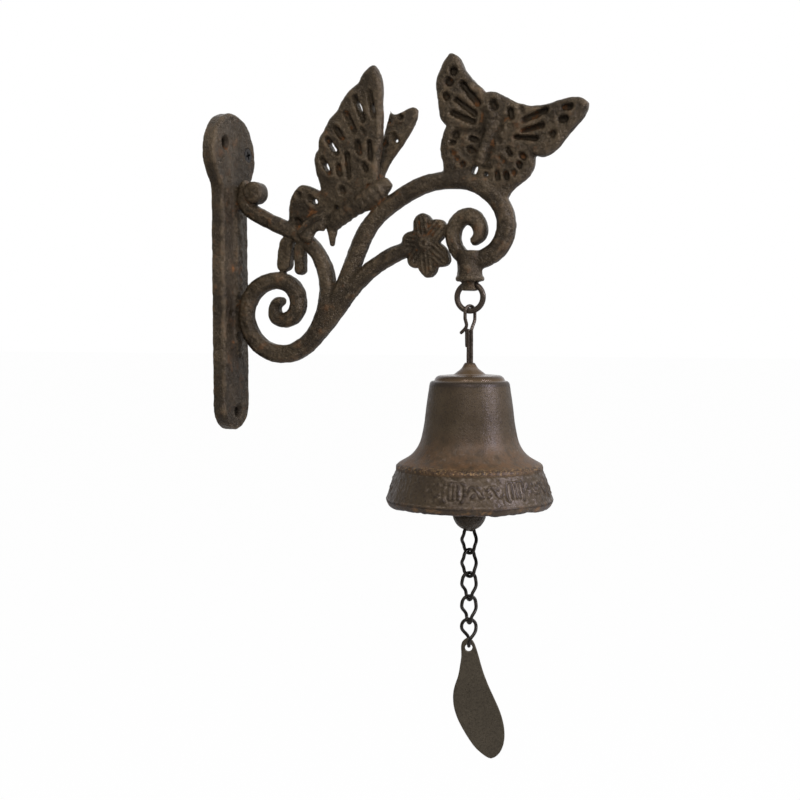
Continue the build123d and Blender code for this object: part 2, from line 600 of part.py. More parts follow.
def clapper_rod():
    """The wire that carries the ball, with an eye that hangs in the hanger's lower eye."""
    bow_z = CLAPPER_BOW_Z
    neck_z = bow_z - ROD_NECK_DROP
    pieces = [half_bow((BELL_X, 0, bow_z), ROD_EYE_RADIUS, ROD_WIRE, 90, True)]
    for side in (-1, 1):
        top = yawed(side * ROD_EYE_RADIUS, 90, bow_z)
        pieces.append(leg([top, (BELL_X, 0, neck_z)], ROD_WIRE, 90))
    pieces.append(bent_wire(Line((BELL_X, 0, neck_z), (BELL_X, 0, BALL_Z)), ROD_WIRE, 90))
    return pieces[0].fuse(*pieces[1:])


def clapper_ball():
    """The cast ball, its socket for the rod and the lug below with a cross hole for the chain."""
    radius = BALL_DIAMETER / 2
    turns = [math.pi * i / BALL_CHORDS for i in range(BALL_CHORDS + 1)]
    edge = Polyline(*[(radius * math.sin(t), radius * math.cos(t)) for t in turns], close=True)
    ball = Pos(BELL_X, 0, BALL_Z) * revolve(Plane.XZ * make_face(edge), Axis.Z)
    socket_z = BALL_Z + radius - SOCKET_SINK
    collar = Pos(BELL_X, 0, socket_z) * Cone(*SOCKET_RADII, SOCKET_HEIGHT, align=FROM_BASE)
    turn = Rot(0, 0, LINK_YAWS[0])
    side = Plane(origin=(-LUG_THICKNESS / 2, 0, 0), x_dir=(0, 1, 0), z_dir=(1, 0, 0))
    shape = Pos(0, LUG_BOTTOM + LUG_HEIGHT / 2) * SlotOverall(LUG_HEIGHT, LUG_WIDTH, rotation=90)
    lug = Pos(BELL_X, 0, 0) * turn * extrude(side * shape, LUG_THICKNESS)
    bore = (LINK_WIRE / 2 + TUNNEL_PLAY) / math.cos(math.pi / TUNNEL_SIDES)
    section = Plane.XZ * Pos(LINK_RADIUS, 0) * RegularPolygon(bore, TUNNEL_SIDES)
    tunnel_z = LINK_TOP - LINK_WIRE / 2 - LINK_RADIUS
    tunnel = Pos(BELL_X, 0, tunnel_z) * turn * Rot(0, 90, 0) * revolve(section, Axis.Z)
    rod_socket = Pos(BELL_X, 0, BALL_Z) * Cylinder(ROD_WIRE / 2, BALL_DIAMETER, align=FROM_BASE)
    return ball + collar + lug - tunnel - rod_socket


def chain_link(top, yaw):
    """One twisted link: its upper bow and its lower bow stand a quarter turn apart, and its legs
    wind round from one to the other at an even distance."""
    radius = LINK_RADIUS
    high = top - LINK_WIRE / 2 - radius
    low = top - LINK_LENGTH + LINK_WIRE / 2 + radius
    pieces = [
        half_bow((BELL_X, 0, high), radius, LINK_WIRE, yaw + 90, True),
        half_bow((BELL_X, 0, low), radius, LINK_WIRE, yaw, False),
    ]
    for side in (-1, 1):
        start = yawed(side * radius, yaw + 90, high)
        middle = yawed(side * radius, yaw + 45, (high + low) / 2)
        end = yawed(side * radius, yaw, low)
        pieces.append(leg([start, middle, end], LINK_WIRE, yaw))
    return pieces[0].fuse(*pieces[1:])


def chain():
    """The links from the clapper down, each hanging in the one above."""
    links = {}
    for i, yaw in enumerate(LINK_YAWS):
        links[f"chain_link_{i + 1}"] = chain_link(LINK_TOP - i * LINK_PITCH, yaw)
    return links


def pull_tab():
    """The flat leaf-shaped pull. Its outline is given sideways from the hole and down from its top."""
    wire_z = LINK_TOP - (len(LINK_YAWS) - 1) * LINK_PITCH - LINK_LENGTH + LINK_WIRE / 2
    hole_z = wire_z + LINK_WIRE / 2 + WIRE_PLAY - PULL_HOLE_DIAMETER / 2
    turn = math.radians(PULL_YAW)
    x_dir = (math.cos(turn), math.sin(turn), 0)
    z_dir = (math.sin(turn), -math.cos(turn), 0)
    at = Plane(origin=(BELL_X, 0, PULL_TOP), x_dir=x_dir, z_dir=z_dir)
    edge = Spline(*PULL_OUTLINE, periodic=True)
    shape = extrude(at * make_face(edge), PULL_THICKNESS / 2, both=True)
    eye = Plane(origin=(BELL_X, 0, hole_z), x_dir=x_dir, z_dir=z_dir)
    return shape - eye * Cylinder(PULL_HOLE_DIAMETER / 2, 4 * PULL_THICKNESS)


def wall_screw():
    """The cross-head screw in the far hole, cut off at the wall."""
    y, z = SCREW_HOLES["far"]
    face = PLATE_THICKNESS - SCREW_SINK
    top = COUNTERSINK_DIAMETER / 2 - SCREW_SINK * COUNTERSINK_SLOPE
    at = Plane(origin=(0, y, z), x_dir=(0, 1, 0), z_dir=(1, 0, 0))
    down = Plane(origin=(face, y, z), x_dir=(0, 1, 0), z_dir=(-1, 0, 0))
    shank = at * Cylinder(SCREW_SHANK / 2, face, align=FROM_BASE)
    head = down * Cone(top, 0, top / COUNTERSINK_SLOPE, align=FROM_BASE)
    screw = shank + head
    for turn in (SCREW_TURN, SCREW_TURN + 90):
        screw -= at * Pos(0, 0, face) * Rot(0, 0, turn) * Box(*SCREW_SLOT)
    return screw


def main():
    os.makedirs("parts", exist_ok=True)
    makers = {
        "bracket_casting": bracket_casting,
        "wall_screw": wall_screw,
        "hanging_ring": hanging_ring,
        "hanger_wire": hanger_wire,
        "bell": bell,
        "crown_washer": crown_washer,
        "clapper_rod": clapper_rod,
        "clapper_ball": clapper_ball,
        "pull_tab": pull_tab,
    }
    solids = {name: maker() for name, maker in makers.items()}
    solids.update(chain())
    for name, solid in solids.items():
        export_step(solid, f"parts/{name}.step")


main()
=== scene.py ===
import math

import bpy
import numpy as np
from mathutils.kdtree import KDTree
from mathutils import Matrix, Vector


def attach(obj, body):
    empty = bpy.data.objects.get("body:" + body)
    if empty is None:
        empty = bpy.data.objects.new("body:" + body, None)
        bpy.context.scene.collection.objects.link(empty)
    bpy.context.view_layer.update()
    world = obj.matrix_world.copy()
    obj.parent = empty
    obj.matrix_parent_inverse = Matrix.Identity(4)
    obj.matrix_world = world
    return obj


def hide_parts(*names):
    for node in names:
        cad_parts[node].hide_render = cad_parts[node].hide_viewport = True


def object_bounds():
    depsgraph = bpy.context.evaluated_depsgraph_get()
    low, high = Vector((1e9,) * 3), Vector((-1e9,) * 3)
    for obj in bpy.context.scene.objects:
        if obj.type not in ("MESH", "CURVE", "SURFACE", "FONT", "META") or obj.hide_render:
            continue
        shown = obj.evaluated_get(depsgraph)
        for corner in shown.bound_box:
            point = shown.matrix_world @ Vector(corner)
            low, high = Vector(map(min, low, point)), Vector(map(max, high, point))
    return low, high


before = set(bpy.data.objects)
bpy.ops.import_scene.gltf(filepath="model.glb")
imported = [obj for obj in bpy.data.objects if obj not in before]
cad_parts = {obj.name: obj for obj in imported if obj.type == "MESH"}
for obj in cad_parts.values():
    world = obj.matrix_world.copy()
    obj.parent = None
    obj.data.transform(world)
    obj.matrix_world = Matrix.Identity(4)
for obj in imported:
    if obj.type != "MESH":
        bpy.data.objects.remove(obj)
CAD_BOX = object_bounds()

# Lengths are in millimetres in the CAD's frame, and are turned into metres when a mesh is made.
MM = 0.001

# Camera, at the photograph's viewing angle
CAMERA_PLACE = (355.5, -577.7, -32.7)
CAMERA_AZIMUTH = 23.0
CAMERA_DOWN = 3.5
CAMERA_LENS = 51.75
SENSOR = 36.0

# Studio
AMBIENT = 0.29
FLOOR_DROP = 260.0
FLOOR_SIZE = 40.0
FLOOR_COLOUR = (0.86, 0.86, 0.85, 1)
FLOOR_WHITE = 0.985
# name: place in metres, width and height in metres, watts, colour
LAMPS = {
    "key": ((1.32, -0.16, 0.50), 0.26, 0.75, 27.0, (0.84, 0.86, 1.0)),
    "front": ((0.45, -1.30, 1.00), 0.7, 0.7, 21.0, (1.0, 0.96, 0.90)),
    "left": ((-0.90, -0.70, 0.25), 0.7, 0.7, 0.3, (1.0, 0.95, 0.88)),
}
LAMPS_AIM = (0.11, 0.0, -0.04)

# Gloss of the iron: how metallic it is, its waxy reflection, and the tint of both
METALLIC = 0.28
SPECULAR = 0.26
GLOSS_TINT = (0.80, 0.70, 0.60, 1)
BELL_METALLIC = 0.12
BELL_SPECULAR = 0.13
BELL_TINT = (0.84, 0.77, 0.92, 1)
# name: dark, light and rust colours, share of rust, roughness, and depth of the grain in metres
LOOKS = {
    "bracket_iron_look": (
        (0.018, 0.0126, 0.0074), (0.049, 0.0352, 0.0210), (0.15, 0.060, 0.019), 0.75, 0.27, 0.0007,
    ),
    "ball_iron_look": (
        (0.019, 0.0135, 0.008), (0.038, 0.027, 0.017), (0.09, 0.042, 0.018), 0.4, 0.27, 0.0007,
    ),
    "ring_wire_look": (
        (0.022, 0.016, 0.012), (0.044, 0.033, 0.025), (0.10, 0.046, 0.024), 0.5, 0.32, 0.00012,
    ),
    "chain_wire_look": (
        (0.004, 0.0035, 0.003), (0.008, 0.0072, 0.006), (0.03, 0.018, 0.011), 0.25, 0.34, 0.00006,
    ),
    "pull_look": (
        (0.034, 0.028, 0.019), (0.040, 0.033, 0.0225), (0.06, 0.04, 0.023), 0.2, 0.44, 0.00004,
    ),
    "screw_look": (
        (0.007, 0.007, 0.008), (0.016, 0.016, 0.018), (0.03, 0.02, 0.015), 0.1, 0.26, 0.00003,
    ),
}

# The bell's colours, and the heights in metres over which each of its zones begins and ends
BELL_DARK = (0.037, 0.0265, 0.0155)
BELL_LIGHT = (0.053, 0.0385, 0.0228)
BELL_SPOTS = (0.014, 0.011, 0.010)
# Painted shade, darkening the bell's hollows and the outlines of its band ornament
BELL_PAINTED_SHADE = (0.012, 0.009, 0.007)
# Convex edges painted lighter: partly rubbed wear, partly a painted highlight
BELL_EDGE_WEAR_AND_HIGHLIGHT = (0.125, 0.10, 0.078)
FLARE_RUST = (0.105, 0.056, 0.026)
FLARE_BEGINS = (-0.082, -0.104)
FLARE_ENDS = (-0.1075, -0.1055)
BEAD_RUST = (0.22, 0.14, 0.062)
BEAD_BEGINS = (-0.1024, -0.1044)
BEAD_ENDS = (-0.1068, -0.1050)
LIP_RUST = (0.15, 0.082, 0.035)
LIP_BEGINS = (-0.1205, -0.1245)
CROWN_BROWN = (0.066, 0.043, 0.022)
CROWN_BEGINS = (-0.0605, -0.0592)

# Casting surfaces
BRACKET_VOXEL = 0.5
BRACKET_TRIANGLES = 190000
BALL_VOXEL = 0.28
PULL_VOXEL = 0.36
SCREW_VOXEL = 0.12
CAST_SMOOTHING = 3
SMALL_SMOOTHING = 2
CAVITY_ROUNDS = 24
CAVITY_REACH = 0.45
BELL_CAVITY = (10, 0.22)
SMALL_CAVITY = (6, 0.2)

# Wings: a point of the plane, how far it leans towards the viewer in degrees, and the wing's thickness
NEAR_WING = ((0.0, -0.6, 48.0), 6.0, 7.0)
FAR_WING = ((0.0, 3.2, 48.0), -16.0, 4.6)
OPEN_WINGS = ((0.0, 0.0, 0.0), 0.0, 7.4)
RIM_REACH = 2.6
RIM_DROP = 0.9
POCKET_RIM = 0.5
POCKET_WIDTH = 0.86
POCKET_SPREAD = 0.3
WING_SOFTENING = 7
BODY_SOFTENING = 55
# Where the wings are on the casting: both of the side butterfly's, each of them alone, and the spread
# butterfly's, which stand on the hook's curved top
SIDE_WINGS_X = (40, 117)
SIDE_WINGS_LOW = 13
NEAR_WING_END = 103
NEAR_WING_LOW = 22
FAR_WING_BEGINS = 97.5
FAR_WING_UNDER = 26
OPEN_WINGS_LEFT = 129
OPEN_WINGS_LOW = 40
OPEN_WINGS_FRONT = 0.5
HOOK_TOP = (140, 49)
HOOK_CURVE = 0.012
# Where the side butterfly's body is, between a sloping low edge and its height above that
SIDE_BODY_X = (64, 110)
SIDE_BODY_LOW = ((64, 104), (17, 38))
SIDE_BODY_HEIGHT = 15
SIDE_BODY_FRONT = -3.2

# Pockets in the wings: start, end, width and depth in the wing's plane
NEAR_POCKETS = [
    ((87.3, 44.6), (91.6, 33.0), 3.4, 2.6), ((96.2, 46.6), (96.6, 41.0), 3.0, 2.4),
    ((96.8, 42.0), (97.8, 34.2), 2.6, 2.4), ((81.6, 36.8), (85.9, 27.4), 3.4, 2.8),
    ((75.1, 29.4), (78.6, 24.0), 3.8, 2.8), ((69.3, 24.0), (74.8, 16.3), 3.4, 2.6),
    ((65.6, 13.5), (69.9, 5.7), 3.2, 2.6), ((87.5, 20.8), (88.5, 15.7), 3.8, 2.6),
    ((94.6, 20.8), (94.8, 12.0), 2.8, 2.6), ((75.3, 9.4), (76.2, 4.6), 3.2, 2.2),
    ((81.1, 15.0), (81.5, 2.8), 3.2, 2.8), ((90.9, 9.4), (92.2, 5.8), 2.8, 2.0),
    ((76.9, -3.4), (77.5, -4.8), 4.6, 2.2), ((93.8, -3.2), (93.5, -6.3), 4.4, 2.2),
    ((49.6, -4.9), (50.4, -5.7), 3.6, 1.8), ((56.6, -7.4), (60.4, -10.3), 4.0, 2.0),
    ((47.7, -19.0), (49.6, -21.0), 4.0, 1.8), ((90.6, 28.0), (92.4, 25.0), 2.0, 1.2),
]
FAR_POCKETS = [
    ((98.6, 35.0), (99.5, 34.3), 3.2, 1.6), ((105.4, 37.0), (106.4, 35.9), 3.2, 1.8),
    ((102.6, 26.4), (105.7, 22.3), 3.4, 1.6), ((97.4, 23.4), (99.0, 20.6), 3.4, 1.4),
    ((63.6, -26.1), (64.2, -26.6), 2.4, 1.2),
]
OPEN_POCKETS = [
    ((147.0, 95.4), (155.9, 84.7), 3.8, 3.0), ((143.8, 87.8), (153.9, 79.5), 3.6, 3.0),
    ((141.6, 81.2), (153.1, 75.6), 3.4, 3.0), ((141.7, 103.2), (142.3, 102.4), 4.6, 2.8),
    ((139.0, 97.8), (139.9, 96.9), 4.4, 2.8), ((138.0, 90.3), (138.6, 89.4), 4.4, 2.8),
    ((180.5, 74.5), (192.0, 78.7), 3.2, 3.0), ((179.8, 69.2), (190.3, 71.3), 2.9, 3.0),
    ((176.2, 66.3), (187.1, 64.9), 3.0, 3.0), ((201.6, 79.4), (204.8, 79.7), 3.6, 2.8),
    ((200.2, 73.5), (202.4, 73.6), 3.8, 2.8), ((195.5, 66.8), (196.3, 66.8), 4.2, 2.8),
    ((163.9, 84.4), (164.8, 82.6), 5.0, 2.6), ((173.4, 80.2), (173.9, 76.6), 3.4, 2.6),
    ((142.8, 69.8), (143.6, 69.3), 4.2, 2.4), ((140.8, 65.6), (142.4, 65.6), 2.6, 2.0),
    ((141.4, 60.6), (142.0, 60.2), 3.0, 2.2), ((143.6, 57.2), (144.4, 56.8), 2.8, 2.2),
    ((146.9, 54.6), (147.9, 53.9), 3.0, 2.2), ((151.7, 67.4), (154.5, 66.3), 3.2, 2.4),
    ((151.2, 61.8), (153.0, 60.9), 3.4, 2.6), ((172.0, 60.4), (173.4, 57.6), 2.4, 2.4),
    ((179.5, 57.0), (180.7, 55.6), 3.4, 2.4), ((168.0, 56.8), (168.7, 55.9), 2.0, 1.6),
    ((170.1, 54.5), (170.5, 53.9), 2.0, 1.6), ((177.9, 52.7), (178.7, 51.5), 3.2, 2.4),
    ((175.1, 48.9), (175.7, 47.5), 2.2, 2.0), ((166.1, 49.1), (166.5, 45.5), 2.4, 2.2),
    ((170.9, 48.3), (171.7, 45.5), 2.3, 2.2), ((167.1, 66.0), (167.7, 64.6), 2.4, 1.8),
    ((168.3, 71.9), (168.7, 70.7), 2.0, 1.6), ((178.3, 82.0), (180.0, 78.6), 2.2, 1.4),
    ((157.9, 52.2), (162.2, 51.5), 2.4, 2.2),
]
# Grooves beside the spread butterfly's body, as runs of points
BODY_GROOVES = [
    [(172.0, 76.6), (168.2, 74.4), (165.0, 66.2), (162.4, 60.6), (159.4, 54.0)],
    [(158.0, 80.6), (157.8, 71.0), (155.6, 62.0), (153.4, 56.0)],
    [(143.9, 71.6), (151.0, 70.6), (158.0, 69.8)],
]
BODY_GROOVE_WIDTH = 2.1
BODY_GROOVE_DEPTH = 1.5
# The edge where the side butterfly's near hind wing lies over the far one
HIND_EDGE = [(50.4, -29.0), (55.6, -22.4), (61.6, -19.0), (70.6, -18.6)]
HIND_EDGE_END = 72
HIND_EDGE_WIDTH = 2.2
HIND_EDGE_DEPTH = 1.4

# Butterfly bodies: points of the axis, and the spacing of the rings along it
SIDE_BODY = [
    (68.0, -0.4, 24.6), (78.0, -1.2, 31.0), (90.0, -1.6, 37.6),
    (99.0, -1.4, 43.4), (104.6, -1.0, 47.6),
]
SIDE_BODY_PITCH = 4.1
OPEN_BODY = [(163.6, 0.0, 86.6), (162.8, 0.0, 76.0), (159.4, 0.0, 64.0), (154.6, 0.0, 51.0)]
OPEN_BODY_PITCH = 3.0
BODY_REACH = 7.0
SIDE_SWELL = 0.16
OPEN_SWELL = 0.12

# Flower
FLOWER_CENTRE = (125.5, 13.6)
FLOWER_DEPTH = 7.8
PETALS = {98: 16.2, 48: 15.6, 170: 13.6, 236: 14.8, 277: 18.4, 318: 17.2}
BUTTON_RADIUS = 3.3
PETAL_GROOVES = 2.35
PETAL_GROOVE_DEPTH = 0.75

# Screw holes of the wall plate, how far round each the iron is painted black as shade, and up to where in
# front of the wall
SCREW_HOLES = [(-10.5, 73.0), (15.0, 69.0), (1.5, -80.0)]
HOLE_SHADE = 4.1
HOLE_FRONT = 7.2

# The plate's flat back keeps still, and the cast roughness begins in front of it
BACK_FADE = (-0.3, 0.35)

# Rough rib on the wall plate
RIB_HALF_WIDTH = 5.4
RIB_HALF_LENGTH = 50.0
RIB_FRONT = 8.6

# Ring, hanger wire and clapper rod
BELL_X = 150.6
RING_CENTRE_Z = -15.5
RING_RADIUS = 7.25
RING_WIRE = 3.1
HANGER_WIRE = 1.86
EYE_YAW = 58.0
EYE_RADIUS = 3.3
EYE_Z = -23.4
EYE_LEG_Z = -26.8
SHANK_YAW = 19.5
SHANK_HALF = 0.84
NECK_Z = -33.5
SHANK_END_Z = -63.95
LOWER_EYE_Z = -68.95
LOWER_EYE_RADIUS = 3.2
TAIL = [(-1.3, -1.7, -30.2), (-2.3, -1.3, -32.2), (-4.9, -1.4, -34.8)]
SPARE_END_Z = -42.0
SPARE_WIRE = 1.3
ROD_WIRE = 2.4
ROD_EYE_RADIUS = 3.2
ROD_EYE_Z = -73.125
ROD_NECK_Z = -79.6
BALL_Z = -130.7

# Chain
LINK_WIRE = 1.9
LINK_LENGTH = 16.6
LINK_RADIUS = 3.9
LINK_TOP = -136.9
LINK_PITCH = 12.65
LINK_SMOOTHING = 3
LINK_YAWS = (-25.5, -25.5, -45.5, -50.5, -68.0)
WIRE_SIDES = 20
WIRE_STEP = 0.45

# Bell: runs of radius and height, curved runs between straight ones
HOLE_RADIUS = 1.95
HOLE_RUN = [(HOLE_RADIUS, -62.6), (HOLE_RADIUS, -49.9), (2.3, -49.9), (3.0, -50.5)]
CONE_RUN = [(3.0, -50.5), (4.2, -53.0), (7.4, -55.4), (8.4, -56.4)]
DISC_RUN = [
    (8.4, -56.4), (16.6, -57.0), (17.6, -57.6), (18.6, -58.7),
    (18.8, -59.9), (20.2, -59.9), (21.2, -60.8),
]
BODY_RUN = [(21.2, -60.8), (23.1, -73.9), (24.4, -84.0), (26.6, -93.2), (31.2, -99.6), (38.2, -104.0)]
BAND_RUN = [(38.2, -104.0), (39.4, -106.2), (44.6, -121.6)]
LIP_RUN = [(44.6, -121.6), (44.9, -123.6), (43.2, -126.5), (39.8, -126.5)]
INNER_RUN = [
    (39.8, -126.5), (39.9, -121.0), (36.0, -108.0), (28.4, -100.8),
    (23.2, -94.0), (20.6, -84.0), (17.4, -65.0),
]
CROWN_RUN = [(17.4, -65.0), (15.4, -62.6), (HOLE_RADIUS, -62.6)]
BELL_COLUMNS = 600
BELL_TRIANGLES = 190000
BAND_TOP_Z = -106.2
BAND_LOW_Z = -121.6
BAND_RADIUS = 42.0
BEAD_Z = -104.9
BEAD_HALF = 0.75
BAND_MOTIFS = 8
RELIEF_HEIGHT = 0.75
RELIEF_SINK = 0.6


def unit(vectors):
    return vectors / np.linalg.norm(vectors, axis=-1, keepdims=True)


def ease(low, high, values):
    """0 below low and 1 above high, with a smooth rise between them."""
    t = np.clip((values - low) / (high - low), 0, 1)
    return t * t * (3 - 2 * t)


def value_noise(points, cell, seed):
    """Smooth noise from -1 to 1 whose lumps are about one cell wide."""
    count = 32
    grid = np.random.default_rng(seed).uniform(-1, 1, (count, count, count))
    at = points / cell
    base = np.floor(at).astype(int)
    t = at - base
    t = t * t * (3 - 2 * t)
    total = np.zeros(len(points))
    for corner in np.ndindex(2, 2, 2):
        weight = np.prod(np.where(corner, t, 1 - t), axis=1)
        i, j, k = ((base + corner) % count).T
        total += weight * grid[i, j, k]
    return total


def curved(run, step):
    """Points along a smooth curve through a run, about a step apart."""
    run = np.array(run, float)
    padded = np.vstack([2 * run[0] - run[1], run, 2 * run[-1] - run[-2]])
    points = []
    for a, b, c, d in zip(padded, padded[1:], padded[2:], padded[3:]):
        pieces = max(2, int(np.linalg.norm(c - b) / step))
        for t in np.arange(pieces) / pieces:
            square = (2 * a - 5 * b + 4 * c - d) * t**2
            cube = (3 * b - a - 3 * c + d) * t**3
            points.append(0.5 * (2 * b + (c - a) * t + square + cube))
    points.append(run[-1])
    return np.array(points)


def straight(run, step):
    """Points along the straight legs of a run, about a step apart."""
    run = np.array(run, float)
    points = []
    for a, b in zip(run, run[1:]):
        pieces = max(1, int(np.linalg.norm(b - a) / step))
        points.extend(a + (b - a) * t for t in np.arange(pieces) / pieces)
    points.append(run[-1])
    return np.array(points)


def distance_to_run(points, run):
    """How far 2-D points lie from a run of straight legs."""
    best = np.full(len(points), 1e9)
    for a, b in zip(np.array(run, float), np.array(run[1:], float)):
        leg = b - a
        t = np.clip(((points - a) @ leg) / max(leg @ leg, 1e-9), 0, 1)
        best = np.minimum(best, np.linalg.norm(points - a - t[:, None] * leg, axis=1))
    return best


def make_piece(name, points, faces):
    """A smooth-shaded mesh object from points in millimetres."""
    mesh = bpy.data.meshes.new(name)
    mesh.from_pydata((np.asarray(points) * MM).tolist(), [], faces)
    mesh.polygons.foreach_set("use_smooth", np.ones(len(mesh.polygons), bool))
    mesh.update()
    piece = bpy.data.objects.new(name, mesh)
    bpy.context.scene.collection.objects.link(piece)
    return piece


def read_points(mesh):
    flat = np.empty(len(mesh.vertices) * 3, dtype=np.float32)
    mesh.vertices.foreach_get("co", flat)
    return flat.reshape(-1, 3).astype(float) / MM


def read_normals(mesh):
    flat = np.empty(len(mesh.vertices) * 3, dtype=np.float32)
    mesh.vertex_normals.foreach_get("vector", flat)
    return flat.reshape(-1, 3).astype(float)


def write_points(mesh, points):
    """Gives a mesh its points, none of them outside the CAD's box."""
    points = np.clip(points, np.array(CAD_BOX[0]) / MM, np.array(CAD_BOX[1]) / MM)
    mesh.vertices.foreach_set("co", (points * MM).astype(np.float32).ravel())
    mesh.update()


def neighbour_mean(points, edges, counts):
    """The mean of each vertex's neighbours."""
    total = np.zeros_like(points)
    for axis in range(3):
        total[:, axis] += np.bincount(edges[:, 0], points[edges[:, 1], axis], len(points))
        total[:, axis] += np.bincount(edges[:, 1], points[edges[:, 0], axis], len(points))
    return total / counts[:, None]


def mesh_edges(mesh):
    flat = np.empty(len(mesh.edges) * 2, dtype=np.int32)
    mesh.edges.foreach_get("vertices", flat)
    edges = flat.reshape(-1, 2)
    counts = np.bincount(edges.ravel(), minlength=len(mesh.vertices)).astype(float)
    return edges, np.maximum(counts, 1)


def relax(mesh, rounds, strength=0.5):
    """Evens out a mesh, and gives its points back."""
    points = read_points(mesh)
    edges, counts = mesh_edges(mesh)
    for _ in range(rounds):
        points += (neighbour_mean(points, edges, counts) - points) * strength
    write_points(mesh, points)
    return points


def paint_hole_shade(mesh):
    """Paints shade inside the plate's screw holes: marks them as the deepest hollow, which the iron look
    darkens, and rusts in patches.
    """
    points = read_points(mesh)
    values = np.empty(len(points), dtype=np.float32)
    mesh.attributes["cavity"].data.foreach_get("value", values)
    for y, z in SCREW_HOLES:
        apart = np.hypot(points[:, 1] - y, points[:, 2] - z)
        inside = (apart < HOLE_SHADE) & (points[:, 0] < HOLE_FRONT)
        values = np.where(inside, 1.0, values)
    mesh.attributes["cavity"].data.foreach_set("value", values.astype(np.float32))


def soften(mesh, share, rounds):
    """Smooths a part of a mesh, by a share from 0 to 1 at each vertex."""
    points = read_points(mesh)
    edges, counts = mesh_edges(mesh)
    for _ in range(rounds):
        points += (neighbour_mean(points, edges, counts) - points) * (0.5 * share)[:, None]
    write_points(mesh, points)


def store_cavity(mesh, rounds=CAVITY_ROUNDS, reach=CAVITY_REACH):
    """Stores how deep each vertex lies in a hollow, 1 at the deepest, or how far it stands out, to -1."""
    points = read_points(mesh)
    normals = read_normals(mesh)
    edges, counts = mesh_edges(mesh)
    soft = points.copy()
    for _ in range(rounds):
        soft = neighbour_mean(soft, edges, counts)
    depth = np.einsum("ij,ij->i", soft - points, normals) / reach
    layer = mesh.attributes.new("cavity", "FLOAT", "POINT")
    layer.data.foreach_set("value", np.clip(depth, -1, 1).astype(np.float32))


def cast_copy(node, voxel, smoothing):
    """A copy of a CAD node with small even faces and softened edges, as a casting has."""
    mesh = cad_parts[node].data.copy()
    mesh.materials.clear()
    piece = bpy.data.objects.new(f"{node}_cast", mesh)
    bpy.context.scene.collection.objects.link(piece)
    remesh = piece.modifiers.new("remesh", "REMESH")
    remesh.mode = "VOXEL"
    remesh.voxel_size = voxel * MM
    remesh.use_smooth_shade = True
    apply_modifiers(piece)
    relax(piece.data, smoothing)
    return piece


def apply_modifiers(piece):
    graph = bpy.context.evaluated_depsgraph_get()
    made = bpy.data.meshes.new_from_object(piece.evaluated_get(graph))
    piece.modifiers.clear()
    piece.data = made


def thin_out(piece, triangles):
    """Takes faces away where the surface is flat, down to a number of triangles."""
    piece.data.calc_loop_triangles()
    share = triangles / len(piece.data.loop_triangles)
    if share < 1:
        thin = piece.modifiers.new("thin", "DECIMATE")
        thin.ratio = share
        apply_modifiers(piece)
        piece.data.polygons.foreach_set("use_smooth", np.ones(len(piece.data.polygons), bool))


def casting_noise(points, scale=1.0):
    """The unevenness of a sand casting."""
    broad = 0.26 * value_noise(points, 9.0, 3)
    middle = 0.24 * value_noise(points, 3.6, 4)
    fine = 0.13 * value_noise(points, 1.5, 5)
    return scale * (broad + middle + fine)


# The bracket

def wing_plane(base, lean):
    """The base, across, up and outward directions of a wing's plane."""
    turn = math.radians(lean)
    up = np.array([0, -math.sin(turn), math.cos(turn)])
    out = np.array([0, -math.cos(turn), -math.sin(turn)])
    return np.array(base), np.array([1.0, 0, 0]), up, out


def carve(points, wing, pockets, within):
    """Sinks the front of a wing into rounded bowls, each inside a low swollen rim."""
    place, lean, thickness = wing
    base, across, up, out = wing_plane(place, lean)
    local = np.stack([(points - base) @ across, (points - base) @ up], axis=1)
    level = (points - base) @ out - thickness / 2
    near = within & (level > -thickness * 0.62) & (level < 1.5)
    rim = np.zeros(len(points))
    for start, end, width, depth in pockets:
        apart = distance_to_run(local, [start, end]) - POCKET_WIDTH * width / 2
        rim = np.maximum(rim, POCKET_RIM * np.exp(-((apart - 0.8) / 0.8) ** 2))
    face = near & (level > -1.0)
    points += np.where(face, rim, 0)[:, None] * out
    level = level + np.where(face, rim, 0)
    for start, end, width, depth in pockets:
        apart = distance_to_run(local, [start, end]) / (POCKET_WIDTH * width / 2 + POCKET_SPREAD)
        bowl = 0.4 - (depth + 0.4) * np.clip(1 - apart**2, 0, 1)
        sunk = near & (apart < 1) & (level > bowl)
        points[sunk] += (bowl - level)[sunk, None] * out
        level = np.where(sunk, bowl, level)


def groove(points, wing, run, width, depth, within):
    """A soft groove along a run of points on the front of a wing."""
    base, across, up, out = wing_plane(wing[0], wing[1])
    local = np.stack([(points - base) @ across, (points - base) @ up], axis=1)
    level = (points - base) @ out
    apart = distance_to_run(local, run)
    weight = (1 - ease(0, width, apart)) * ease(0, 2.0, level) * within
    points -= (depth * weight)[:, None] * out


def round_rims(points, normals, wing, within):
    """Rounds the front of a wing down towards its edge."""
    base, _, _, out = wing_plane(wing[0], wing[1])
    level = (points - base) @ out
    facing = normals @ out
    front = within & (facing > 0.55) & (level > wing[2] / 2 - 1.6)
    edge = within & (facing < 0.25) & (level > 0)
    tree = KDTree(int(edge.sum()))
    for index, point in enumerate(points[edge]):
        tree.insert(point, index)
    tree.balance()
    for index in np.flatnonzero(front):
        apart = tree.find(points[index])[2]
        if apart < RIM_REACH:
            points[index] -= out * RIM_DROP * (1 - apart / RIM_REACH) ** 2


